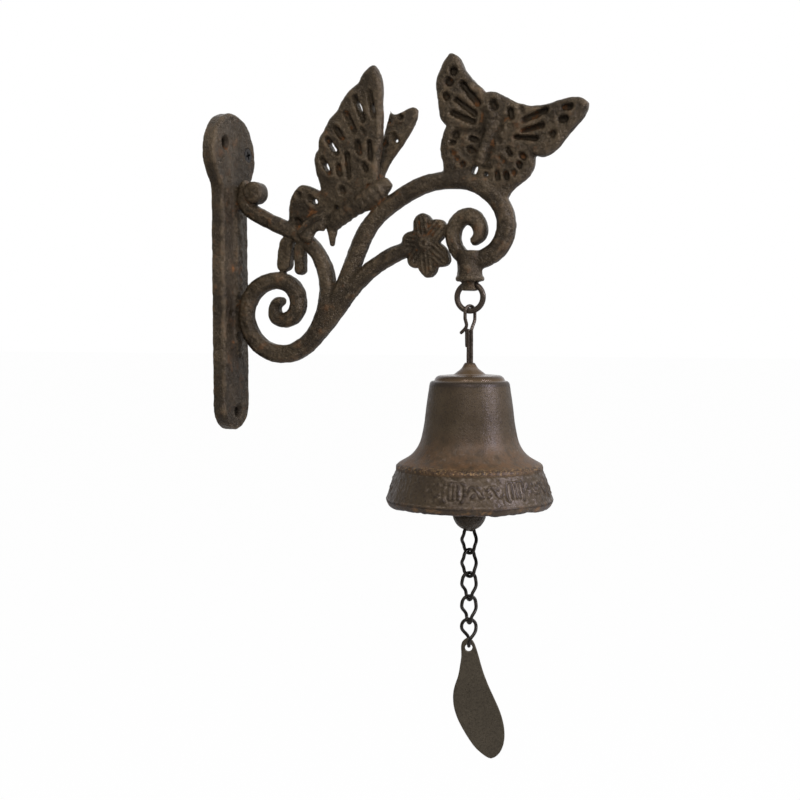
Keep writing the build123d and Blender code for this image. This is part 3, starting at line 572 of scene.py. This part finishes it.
def ring_bodies(points, normals, axis_run, pitch, height):
    """Swells a butterfly's body into uneven rings."""
    line = curved(axis_run, 0.5)
    tree = KDTree(len(line))
    for index, point in enumerate(line):
        tree.insert(point, index)
    tree.balance()
    low, high = line.min(0) - BODY_REACH, line.max(0) + BODY_REACH
    inside = np.all((points > low) & (points < high), axis=1) & (points[:, 1] < 1.5)
    length = np.concatenate([[0], np.cumsum(np.linalg.norm(np.diff(line, axis=0), axis=1))])
    for index in np.flatnonzero(inside):
        _, nearest, apart = tree.find(points[index])
        fade = 1 - ease(5.2, BODY_REACH, np.array(apart))
        away = unit(points[index] - line[nearest])
        round_part = ease(0.25, 0.7, np.array(normals[index] @ away))
        swell = height * math.cos(2 * math.pi * length[nearest] / pitch)
        points[index] += normals[index] * swell * float(fade * round_part)


def rib_petals(points, normals):
    """Cuts the flower's petals into ribs and dishes its button."""
    x, z = FLOWER_CENTRE
    dx, dz = points[:, 0] - x, points[:, 2] - z
    radius = np.hypot(dx, dz)
    angle = np.degrees(np.arctan2(dz, dx))
    lateral = np.full(len(points), 1e9)
    reach = np.full(len(points), 1.0)
    for petal, length in PETALS.items():
        off = np.radians((angle - petal + 180) % 360 - 180)
        side = radius * np.sin(off)
        closer = (np.abs(off) < math.pi / 2) & (np.abs(side) < np.abs(lateral))
        lateral = np.where(closer, side, lateral)
        reach = np.where(closer, length, reach)
    front = (normals[:, 1] < -0.35) & (points[:, 1] < -FLOWER_DEPTH / 2 + 1.4) & (radius < reach + 1)
    along = ease(BUTTON_RADIUS + 0.6, BUTTON_RADIUS + 2.6, radius)
    along = along * (1 - ease(reach - 3.4, reach - 0.8, radius))
    wave = 0.5 - 0.5 * np.cos(2 * math.pi * np.abs(lateral) / PETAL_GROOVES)
    cut = PETAL_GROOVE_DEPTH * along * wave * (np.abs(lateral) < 2.1 * PETAL_GROOVES)
    points[:, 1] += np.where(front, cut, 0)
    button = (radius < BUTTON_RADIUS) & (normals[:, 1] < -0.3)
    points[:, 1] += np.where(button, 0.9 * (1 - ease(0.3, 1.7, radius)), 0)


def roughen_rib(points):
    """How far the lumps of the plate's rib stand out at each point."""
    x, y, z = points.T
    on_rib = ease(RIB_FRONT, RIB_FRONT + 1.2, x) * (x < 12.5) * (np.abs(y) < RIB_HALF_WIDTH)
    on_rib = on_rib * (1 - ease(RIB_HALF_LENGTH - 2, RIB_HALF_LENGTH + 2, np.abs(z)))
    lumps = 0.42 * value_noise(points, 2.2, 11) + 0.3 * value_noise(points, 1.1, 12)
    return on_rib * lumps


def bracket():
    piece = cast_copy("bracket_casting", BRACKET_VOXEL, CAST_SMOOTHING)
    mesh = piece.data
    points, normals = read_points(mesh), read_normals(mesh)
    x, z = points[:, 0], points[:, 2]
    side_wings = (x > SIDE_WINGS_X[0]) & (x < SIDE_WINGS_X[1]) & (z > SIDE_WINGS_LOW)
    spread_wings = (x > OPEN_WINGS_LEFT) & (z > OPEN_WINGS_LOW) & (points[:, 1] < OPEN_WINGS_FRONT)
    above_hook = spread_wings & (z > HOOK_TOP[1] - HOOK_CURVE * (x - HOOK_TOP[0]) ** 2)
    round_rims(points, normals, NEAR_WING, side_wings & (x < NEAR_WING_END) & (z > NEAR_WING_LOW))
    round_rims(points, normals, OPEN_WINGS, above_hook)
    carve(points, NEAR_WING, NEAR_POCKETS, side_wings)
    carve(points, FAR_WING, FAR_POCKETS, side_wings & ((x > FAR_WING_BEGINS) | (z < FAR_WING_UNDER)))
    carve(points, OPEN_WINGS, OPEN_POCKETS, spread_wings)
    for run in BODY_GROOVES:
        groove(points, OPEN_WINGS, run, BODY_GROOVE_WIDTH, BODY_GROOVE_DEPTH, spread_wings)
    hind_wing = side_wings & (x < HIND_EDGE_END)
    groove(points, NEAR_WING, HIND_EDGE, HIND_EDGE_WIDTH, HIND_EDGE_DEPTH, hind_wing)
    write_points(mesh, points)
    wings = (side_wings | spread_wings).astype(float)
    soften(mesh, wings, WING_SOFTENING)
    low_z = np.interp(x, *SIDE_BODY_LOW)
    on_body = (x > SIDE_BODY_X[0]) & (x < SIDE_BODY_X[1]) & (z > low_z) & (z < low_z + SIDE_BODY_HEIGHT)
    on_body = on_body & (points[:, 1] < SIDE_BODY_FRONT)
    soften(mesh, on_body.astype(float), BODY_SOFTENING)
    points = read_points(mesh)
    ring_bodies(points, normals, SIDE_BODY, SIDE_BODY_PITCH, SIDE_SWELL)
    ring_bodies(points, normals, OPEN_BODY, OPEN_BODY_PITCH, OPEN_SWELL)
    rib_petals(points, normals)
    write_points(mesh, points)
    points = relax(mesh, 1, 0.35)
    normals = read_normals(mesh)
    in_front = ease(*BACK_FADE, points[:, 0])
    rough = casting_noise(points) + roughen_rib(points)
    points += normals * (rough * in_front)[:, None]
    write_points(mesh, points)
    store_cavity(mesh)
    # Painted shade inside the plate's screw holes
    paint_hole_shade(mesh)
    thin_out(piece, BRACKET_TRIANGLES)
    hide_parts("bracket_casting")
    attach(piece, "bracket")
    return piece


# Wires

def direction(yaw):
    turn = math.radians(yaw)
    return np.array([math.cos(turn), math.sin(turn), 0])


def from_axis(distance, yaw, z):
    """A point at a distance from the bell's axis, in the direction of a yaw."""
    return np.array([BELL_X, 0, z]) + distance * direction(yaw)


def bow(radius, yaw, z, first, last):
    """Points of an upright arc round the bell's axis, its angles counted from the yaw's side upwards."""
    count = max(6, int(radius * math.radians(abs(last - first)) / WIRE_STEP))
    angles = np.radians(np.linspace(first, last, count))
    return [from_axis(radius * math.cos(a), yaw, z + radius * math.sin(a)) for a in angles]


def bend(start, end, stiffness=1.0):
    """Points of a wire that leaves and reaches two points upright."""
    start, end = np.array(start), np.array(end)
    pull = np.array([0, 0, end[2] - start[2]]) * stiffness
    count = max(6, int(np.linalg.norm(end - start) / WIRE_STEP))
    points = []
    for t in np.linspace(0, 1, count)[1:-1]:
        points.append(
            (2 * t**3 - 3 * t**2 + 1) * start + (t**3 - 2 * t**2 + t) * pull
            + (3 * t**2 - 2 * t**3) * end + (t**3 - t**2) * pull
        )
    return points


def wire(name, path, diameter, closed=False, seed=1):
    """Round drawn wire along a path, with a slightly uneven surface and cut ends."""
    path = np.array(path)
    if closed:
        tangents = np.roll(path, -1, 0) - np.roll(path, 1, 0)
    else:
        tangents = np.gradient(path, axis=0)
    tangents = unit(tangents)
    side = unit(np.cross(tangents[0], [0.31, 0.52, 0.79]))
    sides = []
    for tangent in tangents:
        side = unit(side - tangent * (side @ tangent))
        sides.append(side)
    sides = np.array(sides)
    twist = np.zeros(len(path))
    if closed:
        carried = unit(side - tangents[0] * (side @ tangents[0]))
        gap = math.atan2(np.cross(sides[0], carried) @ tangents[0], sides[0] @ carried)
        twist = -gap * np.arange(len(path)) / len(path)
    ups = np.cross(tangents, sides)
    radii = np.full(len(path), diameter / 2)
    if not closed:
        radii[[0, -1]] *= 0.62
        radii[[1, -2]] *= 0.93
    rings = []
    for place, a, b, radius, turn in zip(path, sides, ups, radii, twist):
        angles = turn + np.arange(WIRE_SIDES) * 2 * math.pi / WIRE_SIDES
        rings.append(place + radius * (np.cos(angles)[:, None] * a + np.sin(angles)[:, None] * b))
    points = np.vstack(rings)
    outward = unit(points - np.repeat(path, WIRE_SIDES, axis=0))
    uneven = 0.035 * value_noise(points, 2.3, seed) + 0.02 * value_noise(points, 0.9, seed + 1) - 0.02
    points += outward * uneven[:, None]
    faces = []
    for i in range(len(path) if closed else len(path) - 1):
        first, second = i * WIRE_SIDES, ((i + 1) % len(path)) * WIRE_SIDES
        for k in range(WIRE_SIDES):
            after = (k + 1) % WIRE_SIDES
            faces.append((first + k, first + after, second + after, second + k))
    if not closed:
        faces.append(tuple(reversed(range(WIRE_SIDES))))
        faces.append(tuple(range(len(points) - WIRE_SIDES, len(points))))
    return make_piece(name, points, faces)


def dressed_wire(piece, node, body):
    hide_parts(node)
    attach(piece, body)
    return piece


def hanging_ring():
    path = bow(RING_RADIUS, 0, RING_CENTRE_Z, -90, 270)[:-1]
    return dressed_wire(wire("ring_wire", path, RING_WIRE, True, 21), "hanging_ring", "ring")


def hanger_wire():
    """One wire: down one side of the shank, round the lower eye, up the other side, round the upper eye."""
    path = [from_axis(-SHANK_HALF, SHANK_YAW, NECK_Z + 1.2)]
    path += list(straight([path[0], from_axis(-SHANK_HALF, SHANK_YAW, SHANK_END_Z)], WIRE_STEP))[1:]
    low = bow(LOWER_EYE_RADIUS, 0, LOWER_EYE_Z, 180, 360)
    path += bend(path[-1], low[0]) + low
    shank_low = from_axis(SHANK_HALF, SHANK_YAW, SHANK_END_Z)
    path += bend(path[-1], shank_low)
    path += list(straight([shank_low, from_axis(SHANK_HALF, SHANK_YAW, NECK_Z)], WIRE_STEP))
    path += bend(path[-1], from_axis(EYE_RADIUS, EYE_YAW, EYE_LEG_Z))
    leg = [from_axis(EYE_RADIUS, EYE_YAW, EYE_LEG_Z), from_axis(EYE_RADIUS, EYE_YAW, EYE_Z)]
    path += list(straight(leg, WIRE_STEP))[:-1]
    path += bow(EYE_RADIUS, EYE_YAW, EYE_Z, 0, 180)
    leg = from_axis(-EYE_RADIUS, EYE_YAW, EYE_LEG_Z)
    tail = [leg] + [np.array([BELL_X + x, y, z]) for x, y, z in TAIL]
    path += list(straight([path[-1], leg], WIRE_STEP))[1:-1]
    path += list(curved(tail, WIRE_STEP))
    main = dressed_wire(wire("hanger_main", path, HANGER_WIRE, False, 31), "hanger_wire", "bell")
    reach = -2 * SHANK_HALF - 0.35
    spare = straight([from_axis(reach * 0.8, SHANK_YAW, NECK_Z + 2.2), from_axis(reach, SHANK_YAW, NECK_Z),
                      from_axis(reach * 0.92, SHANK_YAW, SPARE_END_Z)], WIRE_STEP)
    end = dressed_wire(wire("hanger_end", spare, SPARE_WIRE, False, 33), "hanger_wire", "bell")
    return [main, end]


def clapper_rod():
    """A rod whose top is bent round into an eye."""
    neck = from_axis(0, 90, ROD_NECK_Z)
    path = list(straight([from_axis(0, 90, BALL_Z), neck], WIRE_STEP))
    eye = bow(ROD_EYE_RADIUS, 90, ROD_EYE_Z, 0, 180)
    path += bend(neck, eye[0]) + eye
    path += bend(eye[-1], from_axis(-0.9, 90, ROD_NECK_Z + 0.4))
    return dressed_wire(wire("clapper_rod_wire", path, ROD_WIRE, False, 41), "clapper_rod", "clapper")


def wound_leg(radius, first_yaw, last_yaw, first_z, last_z):
    """Points of a leg that winds round the bell's axis and leaves both its ends upright."""
    count = max(8, int(abs(first_z - last_z) / WIRE_STEP))
    points = []
    for t in np.linspace(0, 1, count)[1:-1]:
        turned = 0.5 * t + 0.5 * t * t * (3 - 2 * t)
        yaw = first_yaw + (last_yaw - first_yaw) * turned
        points.append(from_axis(radius, yaw, first_z + (last_z - first_z) * t))
    return points


def chain_link(index):
    """A link bent from wire, its upper and lower bows a quarter turn apart."""
    yaw = LINK_YAWS[index]
    top = LINK_TOP - index * LINK_PITCH
    high = top - LINK_WIRE / 2 - LINK_RADIUS
    low = top - LINK_LENGTH + LINK_WIRE / 2 + LINK_RADIUS
    path = bow(LINK_RADIUS, yaw + 90, high, 0, 180)
    path += wound_leg(-LINK_RADIUS, yaw + 90, yaw, high, low)
    path += bow(LINK_RADIUS, yaw, low, 180, 360)
    path += wound_leg(LINK_RADIUS, yaw, yaw + 90, low, high)
    path = np.array(path)
    for _ in range(LINK_SMOOTHING):
        path = 0.5 * path + 0.25 * (np.roll(path, 1, 0) + np.roll(path, -1, 0))
    piece = wire(f"link_{index + 1}_wire", path, LINK_WIRE, True, 51 + index)
    return dressed_wire(piece, f"chain_link_{index + 1}", f"link_{index + 1}")


# The bell

def band_relief(around, height):
    """Height of the band's ornament, from 0 to 1: groups of bars between two bows, leaves and lozenges."""
    period = 2 * math.pi * BAND_RADIUS / BAND_MOTIFS
    place = np.mod(around, period)
    points = np.stack([place, height], axis=1)
    raised = np.zeros(len(points))

    def line(run, width):
        return 1 - ease(width * 0.4, width * 1.45, distance_to_run(points, run))

    for bar in (-2.3, 0.0, 2.3):
        raised = np.maximum(raised, line([(6.4 + bar, -3.1), (6.4 + bar, 3.3)], 0.85))
    raised = np.maximum(raised, line([(5.0 - 2.4, 4.4), (7.8 + 2.4, 4.4)], 0.6))
    for side in (-1, 1):
        arc = [(6.4 + side * (4.1 + 1.5 * math.cos(t)), 4.6 * math.sin(t)) for t in np.linspace(-1.4, 1.4, 9)]
        raised = np.maximum(raised, line(arc, 0.9))
    vine = [(13.4 + t * 1.75, 2.6 * math.sin(t * 1.15)) for t in np.linspace(0, 10.4, 27)]
    raised = np.maximum(raised, line([p for p in vine if p[0] < period - 1.2], 0.75))
    for leaf_x, leaf_z, lean in ((16.4, -1.8, 0.8), (19.4, 1.6, -0.7), (24.6, -1.4, 0.8), (28.4, 2.0, -0.6)):
        dx, dz = place - leaf_x, height - leaf_z
        along = dx * math.cos(lean) + dz * math.sin(lean)
        across = dz * math.cos(lean) - dx * math.sin(lean)
        leaf = 1 - ease(0.55, 1.0, np.hypot(along / 2.5, across / 1.35))
        raised = np.maximum(raised, leaf)
    lozenge = np.abs(place - 22.0) / 2.3 + np.abs(height + 0.2) / 3.2
    raised = np.maximum(raised, (1 - ease(0.75, 1.0, lozenge)) * ease(0.25, 0.5, lozenge))
    return raised


def bell():
    """The bell turned from its profile, then given its band, pits and uneven lip."""
    runs = [
        straight(HOLE_RUN, 1.2), curved(CONE_RUN, 0.7), straight(DISC_RUN, 0.45), curved(BODY_RUN, 0.8),
        straight(BAND_RUN, 0.4), curved(LIP_RUN, 0.4), curved(INNER_RUN, 1.5), straight(CROWN_RUN, 1.5),
    ]
    profile = np.vstack([run[:-1] for run in runs])
    for _ in range(2):
        profile = 0.5 * profile + 0.25 * (np.roll(profile, 1, 0) + np.roll(profile, -1, 0))
    tangents = unit(np.roll(profile, -1, 0) - np.roll(profile, 1, 0))
    outward = np.stack([-tangents[:, 1], tangents[:, 0]], axis=1)
    rows, columns = len(profile), BELL_COLUMNS
    angles = np.arange(columns) * 2 * math.pi / columns
    radius = np.repeat(profile[:, 0], columns)
    height = np.repeat(profile[:, 1], columns)
    turn = np.tile(angles, rows)
    shown = np.repeat(np.arange(rows) < sum(len(run) - 1 for run in runs[:6]), columns)
    flat = np.stack([radius * np.cos(turn), radius * np.sin(turn), height], axis=1)

    under_top = ease(BAND_TOP_Z + 0.6, BAND_TOP_Z - 1.0, height)
    on_band = under_top * ease(BAND_LOW_Z - 1.2, BAND_LOW_Z + 0.4, height) * shown
    middle = (BAND_TOP_Z + BAND_LOW_Z) / 2
    degrees = np.degrees(turn)
    faint = np.clip(1 - ease(205, 225, degrees) * (1 - ease(246, 278, degrees)), 0.15, 1)
    worn = (0.62 + 0.38 * value_noise(flat, 8.0, 61)) * faint
    relief = band_relief(turn * BAND_RADIUS, height - middle) * worn * RELIEF_HEIGHT - RELIEF_SINK
    grit = 0.30 * value_noise(flat, 2.7, 62) * (0.3 + 0.7 * faint) + 0.17 * value_noise(flat, 1.2, 63)
    shift = on_band * (relief + grit * 1.1)
    bead = np.exp(-((height - BEAD_Z) / BEAD_HALF) ** 2) * shown
    shift += bead * (0.10 + 0.38 * value_noise(flat, 1.7, 64))
    smooth_body = shown * (1 - on_band)
    shift += smooth_body * (0.10 * value_noise(flat, 9.0, 65) + 0.035 * value_noise(flat, 2.2, 66))
    pitted = ease(-76, -90, height) * ease(-101, -94, height) * ease(0.0, 0.5, value_noise(flat, 14.0, 67))
    pits = ease(0.5, 0.78, value_noise(flat, 1.15, 68)) * (0.25 + 0.75 * pitted)
    shift -= smooth_body * (radius > 20) * 0.32 * pits
    lip = ease(-121.0, -125.0, height)
    lip_wave = value_noise(flat * [1, 1, 0], 9.5, 69) * 0.75 + value_noise(flat * [1, 1, 0], 2.4, 70) * 0.25
    shift += ~shown * 0.12 * value_noise(flat, 4.0, 71)

    normal_r = np.repeat(outward[:, 0], columns)
    normal_z = np.repeat(outward[:, 1], columns)
    radius = radius + normal_r * shift - lip * shown * (0.35 + 0.3 * np.abs(lip_wave))
    height = height + normal_z * shift + lip * np.maximum(0.5 + lip_wave, 0)
    points = np.stack([BELL_X + radius * np.cos(turn), radius * np.sin(turn), height], axis=1)
    index = np.arange(rows * columns).reshape(rows, columns)
    following = np.roll(index, -1, axis=1)
    quads = np.stack([index, following, np.roll(following, -1, axis=0), np.roll(index, -1, axis=0)], axis=-1)
    piece = make_piece("bell_cast", points, quads.reshape(-1, 4).tolist())
    store_cavity(piece.data, *BELL_CAVITY)
    thin_out(piece, BELL_TRIANGLES)
    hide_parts("bell")
    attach(piece, "bell")
    return piece


# Small castings

def clapper_ball():
    piece = cast_copy("clapper_ball", BALL_VOXEL, CAST_SMOOTHING)
    points, normals = read_points(piece.data), read_normals(piece.data)
    points += normals * (casting_noise(points, 0.8) - 0.05)[:, None]
    write_points(piece.data, points)
    store_cavity(piece.data)
    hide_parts("clapper_ball")
    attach(piece, "clapper")
    return piece


def pull_tab():
    piece = cast_copy("pull_tab", PULL_VOXEL, SMALL_SMOOTHING)
    points, normals = read_points(piece.data), read_normals(piece.data)
    points += normals * (0.03 * value_noise(points, 2.0, 81))[:, None]
    write_points(piece.data, points)
    store_cavity(piece.data, *SMALL_CAVITY)
    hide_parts("pull_tab")
    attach(piece, "pull")
    return piece


def wall_screw():
    piece = cast_copy("wall_screw", SCREW_VOXEL, SMALL_SMOOTHING)
    store_cavity(piece.data, *SMALL_CAVITY)
    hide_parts("wall_screw")
    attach(piece, "bracket")
    return piece


# Materials

class Shader:
    """A material's nodes, added one at a time."""

    def __init__(self, name):
        self.material = bpy.data.materials.new(name)
        self.material.use_nodes = True
        self.nodes = self.material.node_tree.nodes
        self.links = self.material.node_tree.links
        self.nodes.clear()
        self.output = self.nodes.new("ShaderNodeOutputMaterial")
        self.surface = self.nodes.new("ShaderNodeBsdfPrincipled")
        self.links.new(self.surface.outputs[0], self.output.inputs["Surface"])
        self.place = self.nodes.new("ShaderNodeTexCoord").outputs["Object"]

    def noise(self, scale, detail=3.0, roughness=0.55):
        """Noise whose lumps are 1/scale metres wide."""
        node = self.nodes.new("ShaderNodeTexNoise")
        node.inputs["Scale"].default_value = scale
        node.inputs["Detail"].default_value = detail
        node.inputs["Roughness"].default_value = roughness
        self.links.new(self.place, node.inputs["Vector"])
        return node.outputs["Fac"]

    def stretch(self, value, low, high, to_low=0.0, to_high=1.0):
        node = self.nodes.new("ShaderNodeMapRange")
        node.clamp = True
        node.interpolation_type = "SMOOTHSTEP"
        for name, number in (("From Min", low), ("From Max", high), ("To Min", to_low), ("To Max", to_high)):
            node.inputs[name].default_value = number
        self.links.new(value, node.inputs["Value"])
        return node.outputs["Result"]

    def math(self, operation, first, second):
        node = self.nodes.new("ShaderNodeMath")
        node.operation = operation
        for socket, value in zip(node.inputs, (first, second)):
            if isinstance(value, (int, float)):
                socket.default_value = value
            else:
                self.links.new(value, socket)
        return node.outputs[0]

    def attribute(self, name):
        node = self.nodes.new("ShaderNodeAttribute")
        node.attribute_name = name
        return node.outputs["Fac"]

    def blend(self, share, first, second):
        """A colour between two, each a colour or another node's output."""
        node = self.nodes.new("ShaderNodeMix")
        node.data_type = "RGBA"
        self.links.new(share, node.inputs["Factor"])
        for name, value in (("A", first), ("B", second)):
            socket = [s for s in node.inputs if s.name == name and s.type == "RGBA"][0]
            if isinstance(value, tuple):
                socket.default_value = (*value, 1)
            else:
                self.links.new(value, socket)
        return [s for s in node.outputs if s.type == "RGBA"][0]

    def bump(self, height, depth, below=None):
        """A bump of a depth in metres, laid over another one."""
        node = self.nodes.new("ShaderNodeBump")
        node.inputs["Strength"].default_value = 1.0
        node.inputs["Distance"].default_value = depth
        self.links.new(height, node.inputs["Height"])
        if below is not None:
            self.links.new(below, node.inputs["Normal"])
        return node.outputs["Normal"]

    def finish(self, colour, roughness, normal, metallic=METALLIC, specular=SPECULAR, tint=GLOSS_TINT):
        self.links.new(colour, self.surface.inputs["Base Color"])
        self.links.new(roughness, self.surface.inputs["Roughness"])
        self.links.new(normal, self.surface.inputs["Normal"])
        self.surface.inputs["Metallic"].default_value = metallic
        self.surface.inputs["Specular IOR Level"].default_value = specular
        self.surface.inputs["Specular Tint"].default_value = tint
        return self.material


def scaled(colour, share):
    return tuple(value * share for value in colour)


def iron(name, dark, light, rust, rust_share, gloss, grain):
    """Old cast iron: mottled brown, rust in the hollows and in patches, painted shade darkening the hollows,
    and edges painted lighter, partly as rubbed wear and partly as a painted highlight.
    """
    shader = Shader(name)
    cavity = shader.attribute("cavity")
    broad = shader.noise(45, 4)
    patches = shader.noise(170, 5, 0.62)
    fine = shader.noise(750, 4, 0.6)
    grit = shader.noise(2100, 3)
    colour = shader.blend(shader.stretch(broad, 0.36, 0.66), dark, light)
    colour = shader.blend(shader.stretch(fine, 0.42, 0.72, 0.0, 0.6), colour, scaled(dark, 0.4))
    colour = shader.blend(shader.stretch(grit, 0.55, 0.8, 0.0, 0.5), colour, scaled(light, 1.7))
    pits = shader.stretch(shader.noise(1100, 2), 0.62, 0.72, 0.0, 0.8)
    colour = shader.blend(pits, colour, scaled(dark, 0.3))
    hollow = shader.stretch(cavity, 0.10, 0.7)
    spots = shader.stretch(patches, 0.60 - 0.12 * rust_share, 0.72)
    bottom = shader.math("MULTIPLY", hollow, spots)
    rusty = shader.math("MAXIMUM", bottom, shader.math("MULTIPLY", spots, 0.30))
    rusty = shader.math("MULTIPLY", rusty, rust_share * 1.5)
    colour = shader.blend(shader.stretch(rusty, 0.0, 1.0), colour, rust)
    # Painted shade: the iron is darkened in the hollows, where shade falls.
    deep = shader.stretch(cavity, 0.3, 1.0, 0.0, 0.5)
    colour = shader.blend(deep, colour, scaled(dark, 0.3))
    # Convex edges painted lighter: partly rubbed wear, partly a painted highlight.
    edge = shader.stretch(shader.math("MULTIPLY", cavity, -1.0), 0.2, 0.9, 0.0, 0.6)
    edge = shader.math("MULTIPLY", edge, shader.stretch(patches, 0.36, 0.62))
    colour = shader.blend(edge, colour, scaled(light, 1.6))
    roughness = shader.math("ADD", shader.stretch(patches, 0.3, 0.7, gloss - 0.12, gloss + 0.12),
                            shader.stretch(hollow, 0.0, 1.0, 0.0, 0.22))
    normal = shader.bump(patches, grain * 2.4)
    normal = shader.bump(fine, grain, normal)
    normal = shader.bump(grit, grain * 0.4, normal)
    return shader.finish(colour, roughness, normal)


def bell_iron():
    """The bell's smoother iron, browner and rustier towards its flare, with painted shade in its hollows and
    its edges painted lighter, partly as rubbed wear and partly as a painted highlight.
    """
    shader = Shader("bell_iron_look")
    cavity = shader.attribute("cavity")
    place = shader.nodes.new("ShaderNodeSeparateXYZ")
    shader.links.new(shader.place, place.inputs[0])
    height = place.outputs["Z"]
    broad = shader.noise(55, 4)
    streaks = shader.noise(220, 5, 0.6)
    fine = shader.noise(900, 4, 0.6)
    grit = shader.noise(2400, 3)
    colour = shader.blend(shader.stretch(broad, 0.35, 0.68), BELL_DARK, BELL_LIGHT)
    colour = shader.blend(shader.stretch(fine, 0.50, 0.72, 0.0, 0.55), colour, BELL_SPOTS)
    flare = shader.stretch(height, *FLARE_BEGINS)
    flare = shader.math("MULTIPLY", flare, shader.stretch(height, *FLARE_ENDS))
    warm = shader.math("MULTIPLY", flare, shader.stretch(streaks, 0.34, 0.66, 0.10, 0.62))
    colour = shader.blend(warm, colour, FLARE_RUST)
    bead = shader.stretch(height, *BEAD_BEGINS)
    bead = shader.math("MULTIPLY", bead, shader.stretch(height, *BEAD_ENDS))
    specks = shader.math("MULTIPLY", bead, shader.stretch(fine, 0.50, 0.64))
    colour = shader.blend(specks, colour, BEAD_RUST)
    lip = shader.stretch(height, *LIP_BEGINS)
    lip = shader.math("MULTIPLY", lip, shader.stretch(streaks, 0.48, 0.68, 0.0, 0.7))
    colour = shader.blend(lip, colour, LIP_RUST)
    crown = shader.stretch(height, *CROWN_BEGINS)
    colour = shader.blend(crown, colour, CROWN_BROWN)
    # Painted shade: the hollows are darkened where shade falls.
    deep = shader.stretch(cavity, 0.2, 1.0, 0.0, 0.55)
    colour = shader.blend(deep, colour, BELL_PAINTED_SHADE)
    # Convex edges painted lighter: partly rubbed wear, partly a painted highlight.
    edge = shader.stretch(shader.math("MULTIPLY", cavity, -1.0), 0.25, 1.0, 0.0, 0.45)
    colour = shader.blend(edge, colour, BELL_EDGE_WEAR_AND_HIGHLIGHT)
    dull = shader.stretch(streaks, 0.3, 0.7, 0.30, 0.44)
    dull = shader.math("ADD", dull, shader.stretch(flare, 0.0, 1.0, 0.0, 0.10))
    roughness = shader.math("SUBTRACT", dull, shader.stretch(crown, 0.0, 1.0, 0.0, 0.20))
    normal = shader.bump(fine, 0.00016)
    normal = shader.bump(grit, 0.00005, normal)
    return shader.finish(colour, roughness, normal, BELL_METALLIC, BELL_SPECULAR, BELL_TINT)


def assign(material, *pieces):
    for piece in pieces:
        piece.data.materials.clear()
        piece.data.materials.append(material)


# Studio

def white_world():
    """White to the camera and in reflections, and a plain ambient light."""
    world = bpy.data.worlds.new("studio")
    bpy.context.scene.world = world
    world.use_nodes = True
    nodes, links = world.node_tree.nodes, world.node_tree.links
    nodes.clear()
    path = nodes.new("ShaderNodeLightPath")
    seen = nodes.new("ShaderNodeMath")
    seen.operation = "MAXIMUM"
    links.new(path.outputs["Is Camera Ray"], seen.inputs[0])
    links.new(path.outputs["Is Glossy Ray"], seen.inputs[1])
    through = nodes.new("ShaderNodeMath")
    through.operation = "MAXIMUM"
    links.new(seen.outputs[0], through.inputs[0])
    links.new(path.outputs["Is Transmission Ray"], through.inputs[1])
    light = nodes.new("ShaderNodeBackground")
    light.inputs["Strength"].default_value = AMBIENT
    white = nodes.new("ShaderNodeBackground")
    white.inputs["Color"].default_value = (1, 1, 1, 1)
    white.inputs["Strength"].default_value = 1.0
    mix = nodes.new("ShaderNodeMixShader")
    links.new(through.outputs[0], mix.inputs[0])
    links.new(light.outputs[0], mix.inputs[1])
    links.new(white.outputs[0], mix.inputs[2])
    output = nodes.new("ShaderNodeOutputWorld")
    links.new(mix.outputs[0], output.inputs["Surface"])


def floor():
    """A pale floor below the pull, nearly white to the camera, with only a trace of the shadow left."""
    low = CAD_BOX[0][2] / MM - FLOOR_DROP
    half = FLOOR_SIZE / 2 / MM
    corners = [(-half, -half, low), (half, -half, low), (half, half, low), (-half, half, low)]
    piece = make_piece("floor", corners, [(0, 1, 2, 3)])
    material = bpy.data.materials.new("pale_floor")
    material.use_nodes = True
    nodes, links = material.node_tree.nodes, material.node_tree.links
    nodes.clear()
    path = nodes.new("ShaderNodeLightPath")
    share = nodes.new("ShaderNodeMath")
    share.operation = "MULTIPLY"
    share.inputs[1].default_value = FLOOR_WHITE
    links.new(path.outputs["Is Camera Ray"], share.inputs[0])
    matt = nodes.new("ShaderNodeBsdfDiffuse")
    matt.inputs["Color"].default_value = FLOOR_COLOUR
    white = nodes.new("ShaderNodeEmission")
    mix = nodes.new("ShaderNodeMixShader")
    links.new(share.outputs[0], mix.inputs[0])
    links.new(matt.outputs[0], mix.inputs[1])
    links.new(white.outputs[0], mix.inputs[2])
    output = nodes.new("ShaderNodeOutputMaterial")
    links.new(mix.outputs[0], output.inputs["Surface"])
    assign(material, piece)


def lamps():
    aim = np.array(LAMPS_AIM)
    for name, (place, width, height, watts, colour) in LAMPS.items():
        data = bpy.data.lights.new(name, "AREA")
        data.energy = watts
        data.shape = "RECTANGLE"
        data.size = width
        data.size_y = height
        data.color = colour
        lamp = bpy.data.objects.new(name, data)
        bpy.context.scene.collection.objects.link(lamp)
        lamp.location = place
        back = unit(np.array(place) - aim)
        lamp.rotation_euler = (math.acos(back[2]), 0, math.atan2(back[1], back[0]) + math.pi / 2)


def camera():
    data = bpy.data.cameras.new("camera")
    data.lens = CAMERA_LENS
    data.sensor_width = SENSOR
    data.clip_start = 0.01
    data.clip_end = 100
    made = bpy.data.objects.new("camera", data)
    bpy.context.scene.collection.objects.link(made)
    made.location = [v * MM for v in CAMERA_PLACE]
    made.rotation_euler = (math.radians(90 - CAMERA_DOWN), 0, math.radians(CAMERA_AZIMUTH))
    bpy.context.scene.camera = made


def main():
    looks = {name: iron(name, *values) for name, values in LOOKS.items()}
    assign(looks["bracket_iron_look"], bracket())
    assign(looks["screw_look"], wall_screw())
    assign(looks["ring_wire_look"], hanging_ring(), *hanger_wire(), clapper_rod())
    assign(bell_iron(), bell())
    assign(looks["ball_iron_look"], clapper_ball())
    assign(looks["chain_wire_look"], *[chain_link(index) for index in range(len(LINK_YAWS))])
    assign(looks["pull_look"], pull_tab())
    assign(looks["ball_iron_look"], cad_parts["crown_washer"])
    bpy.context.scene.view_settings.view_transform = "Standard"
    white_world()
    floor()
    lamps()
    camera()
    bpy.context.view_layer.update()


main()
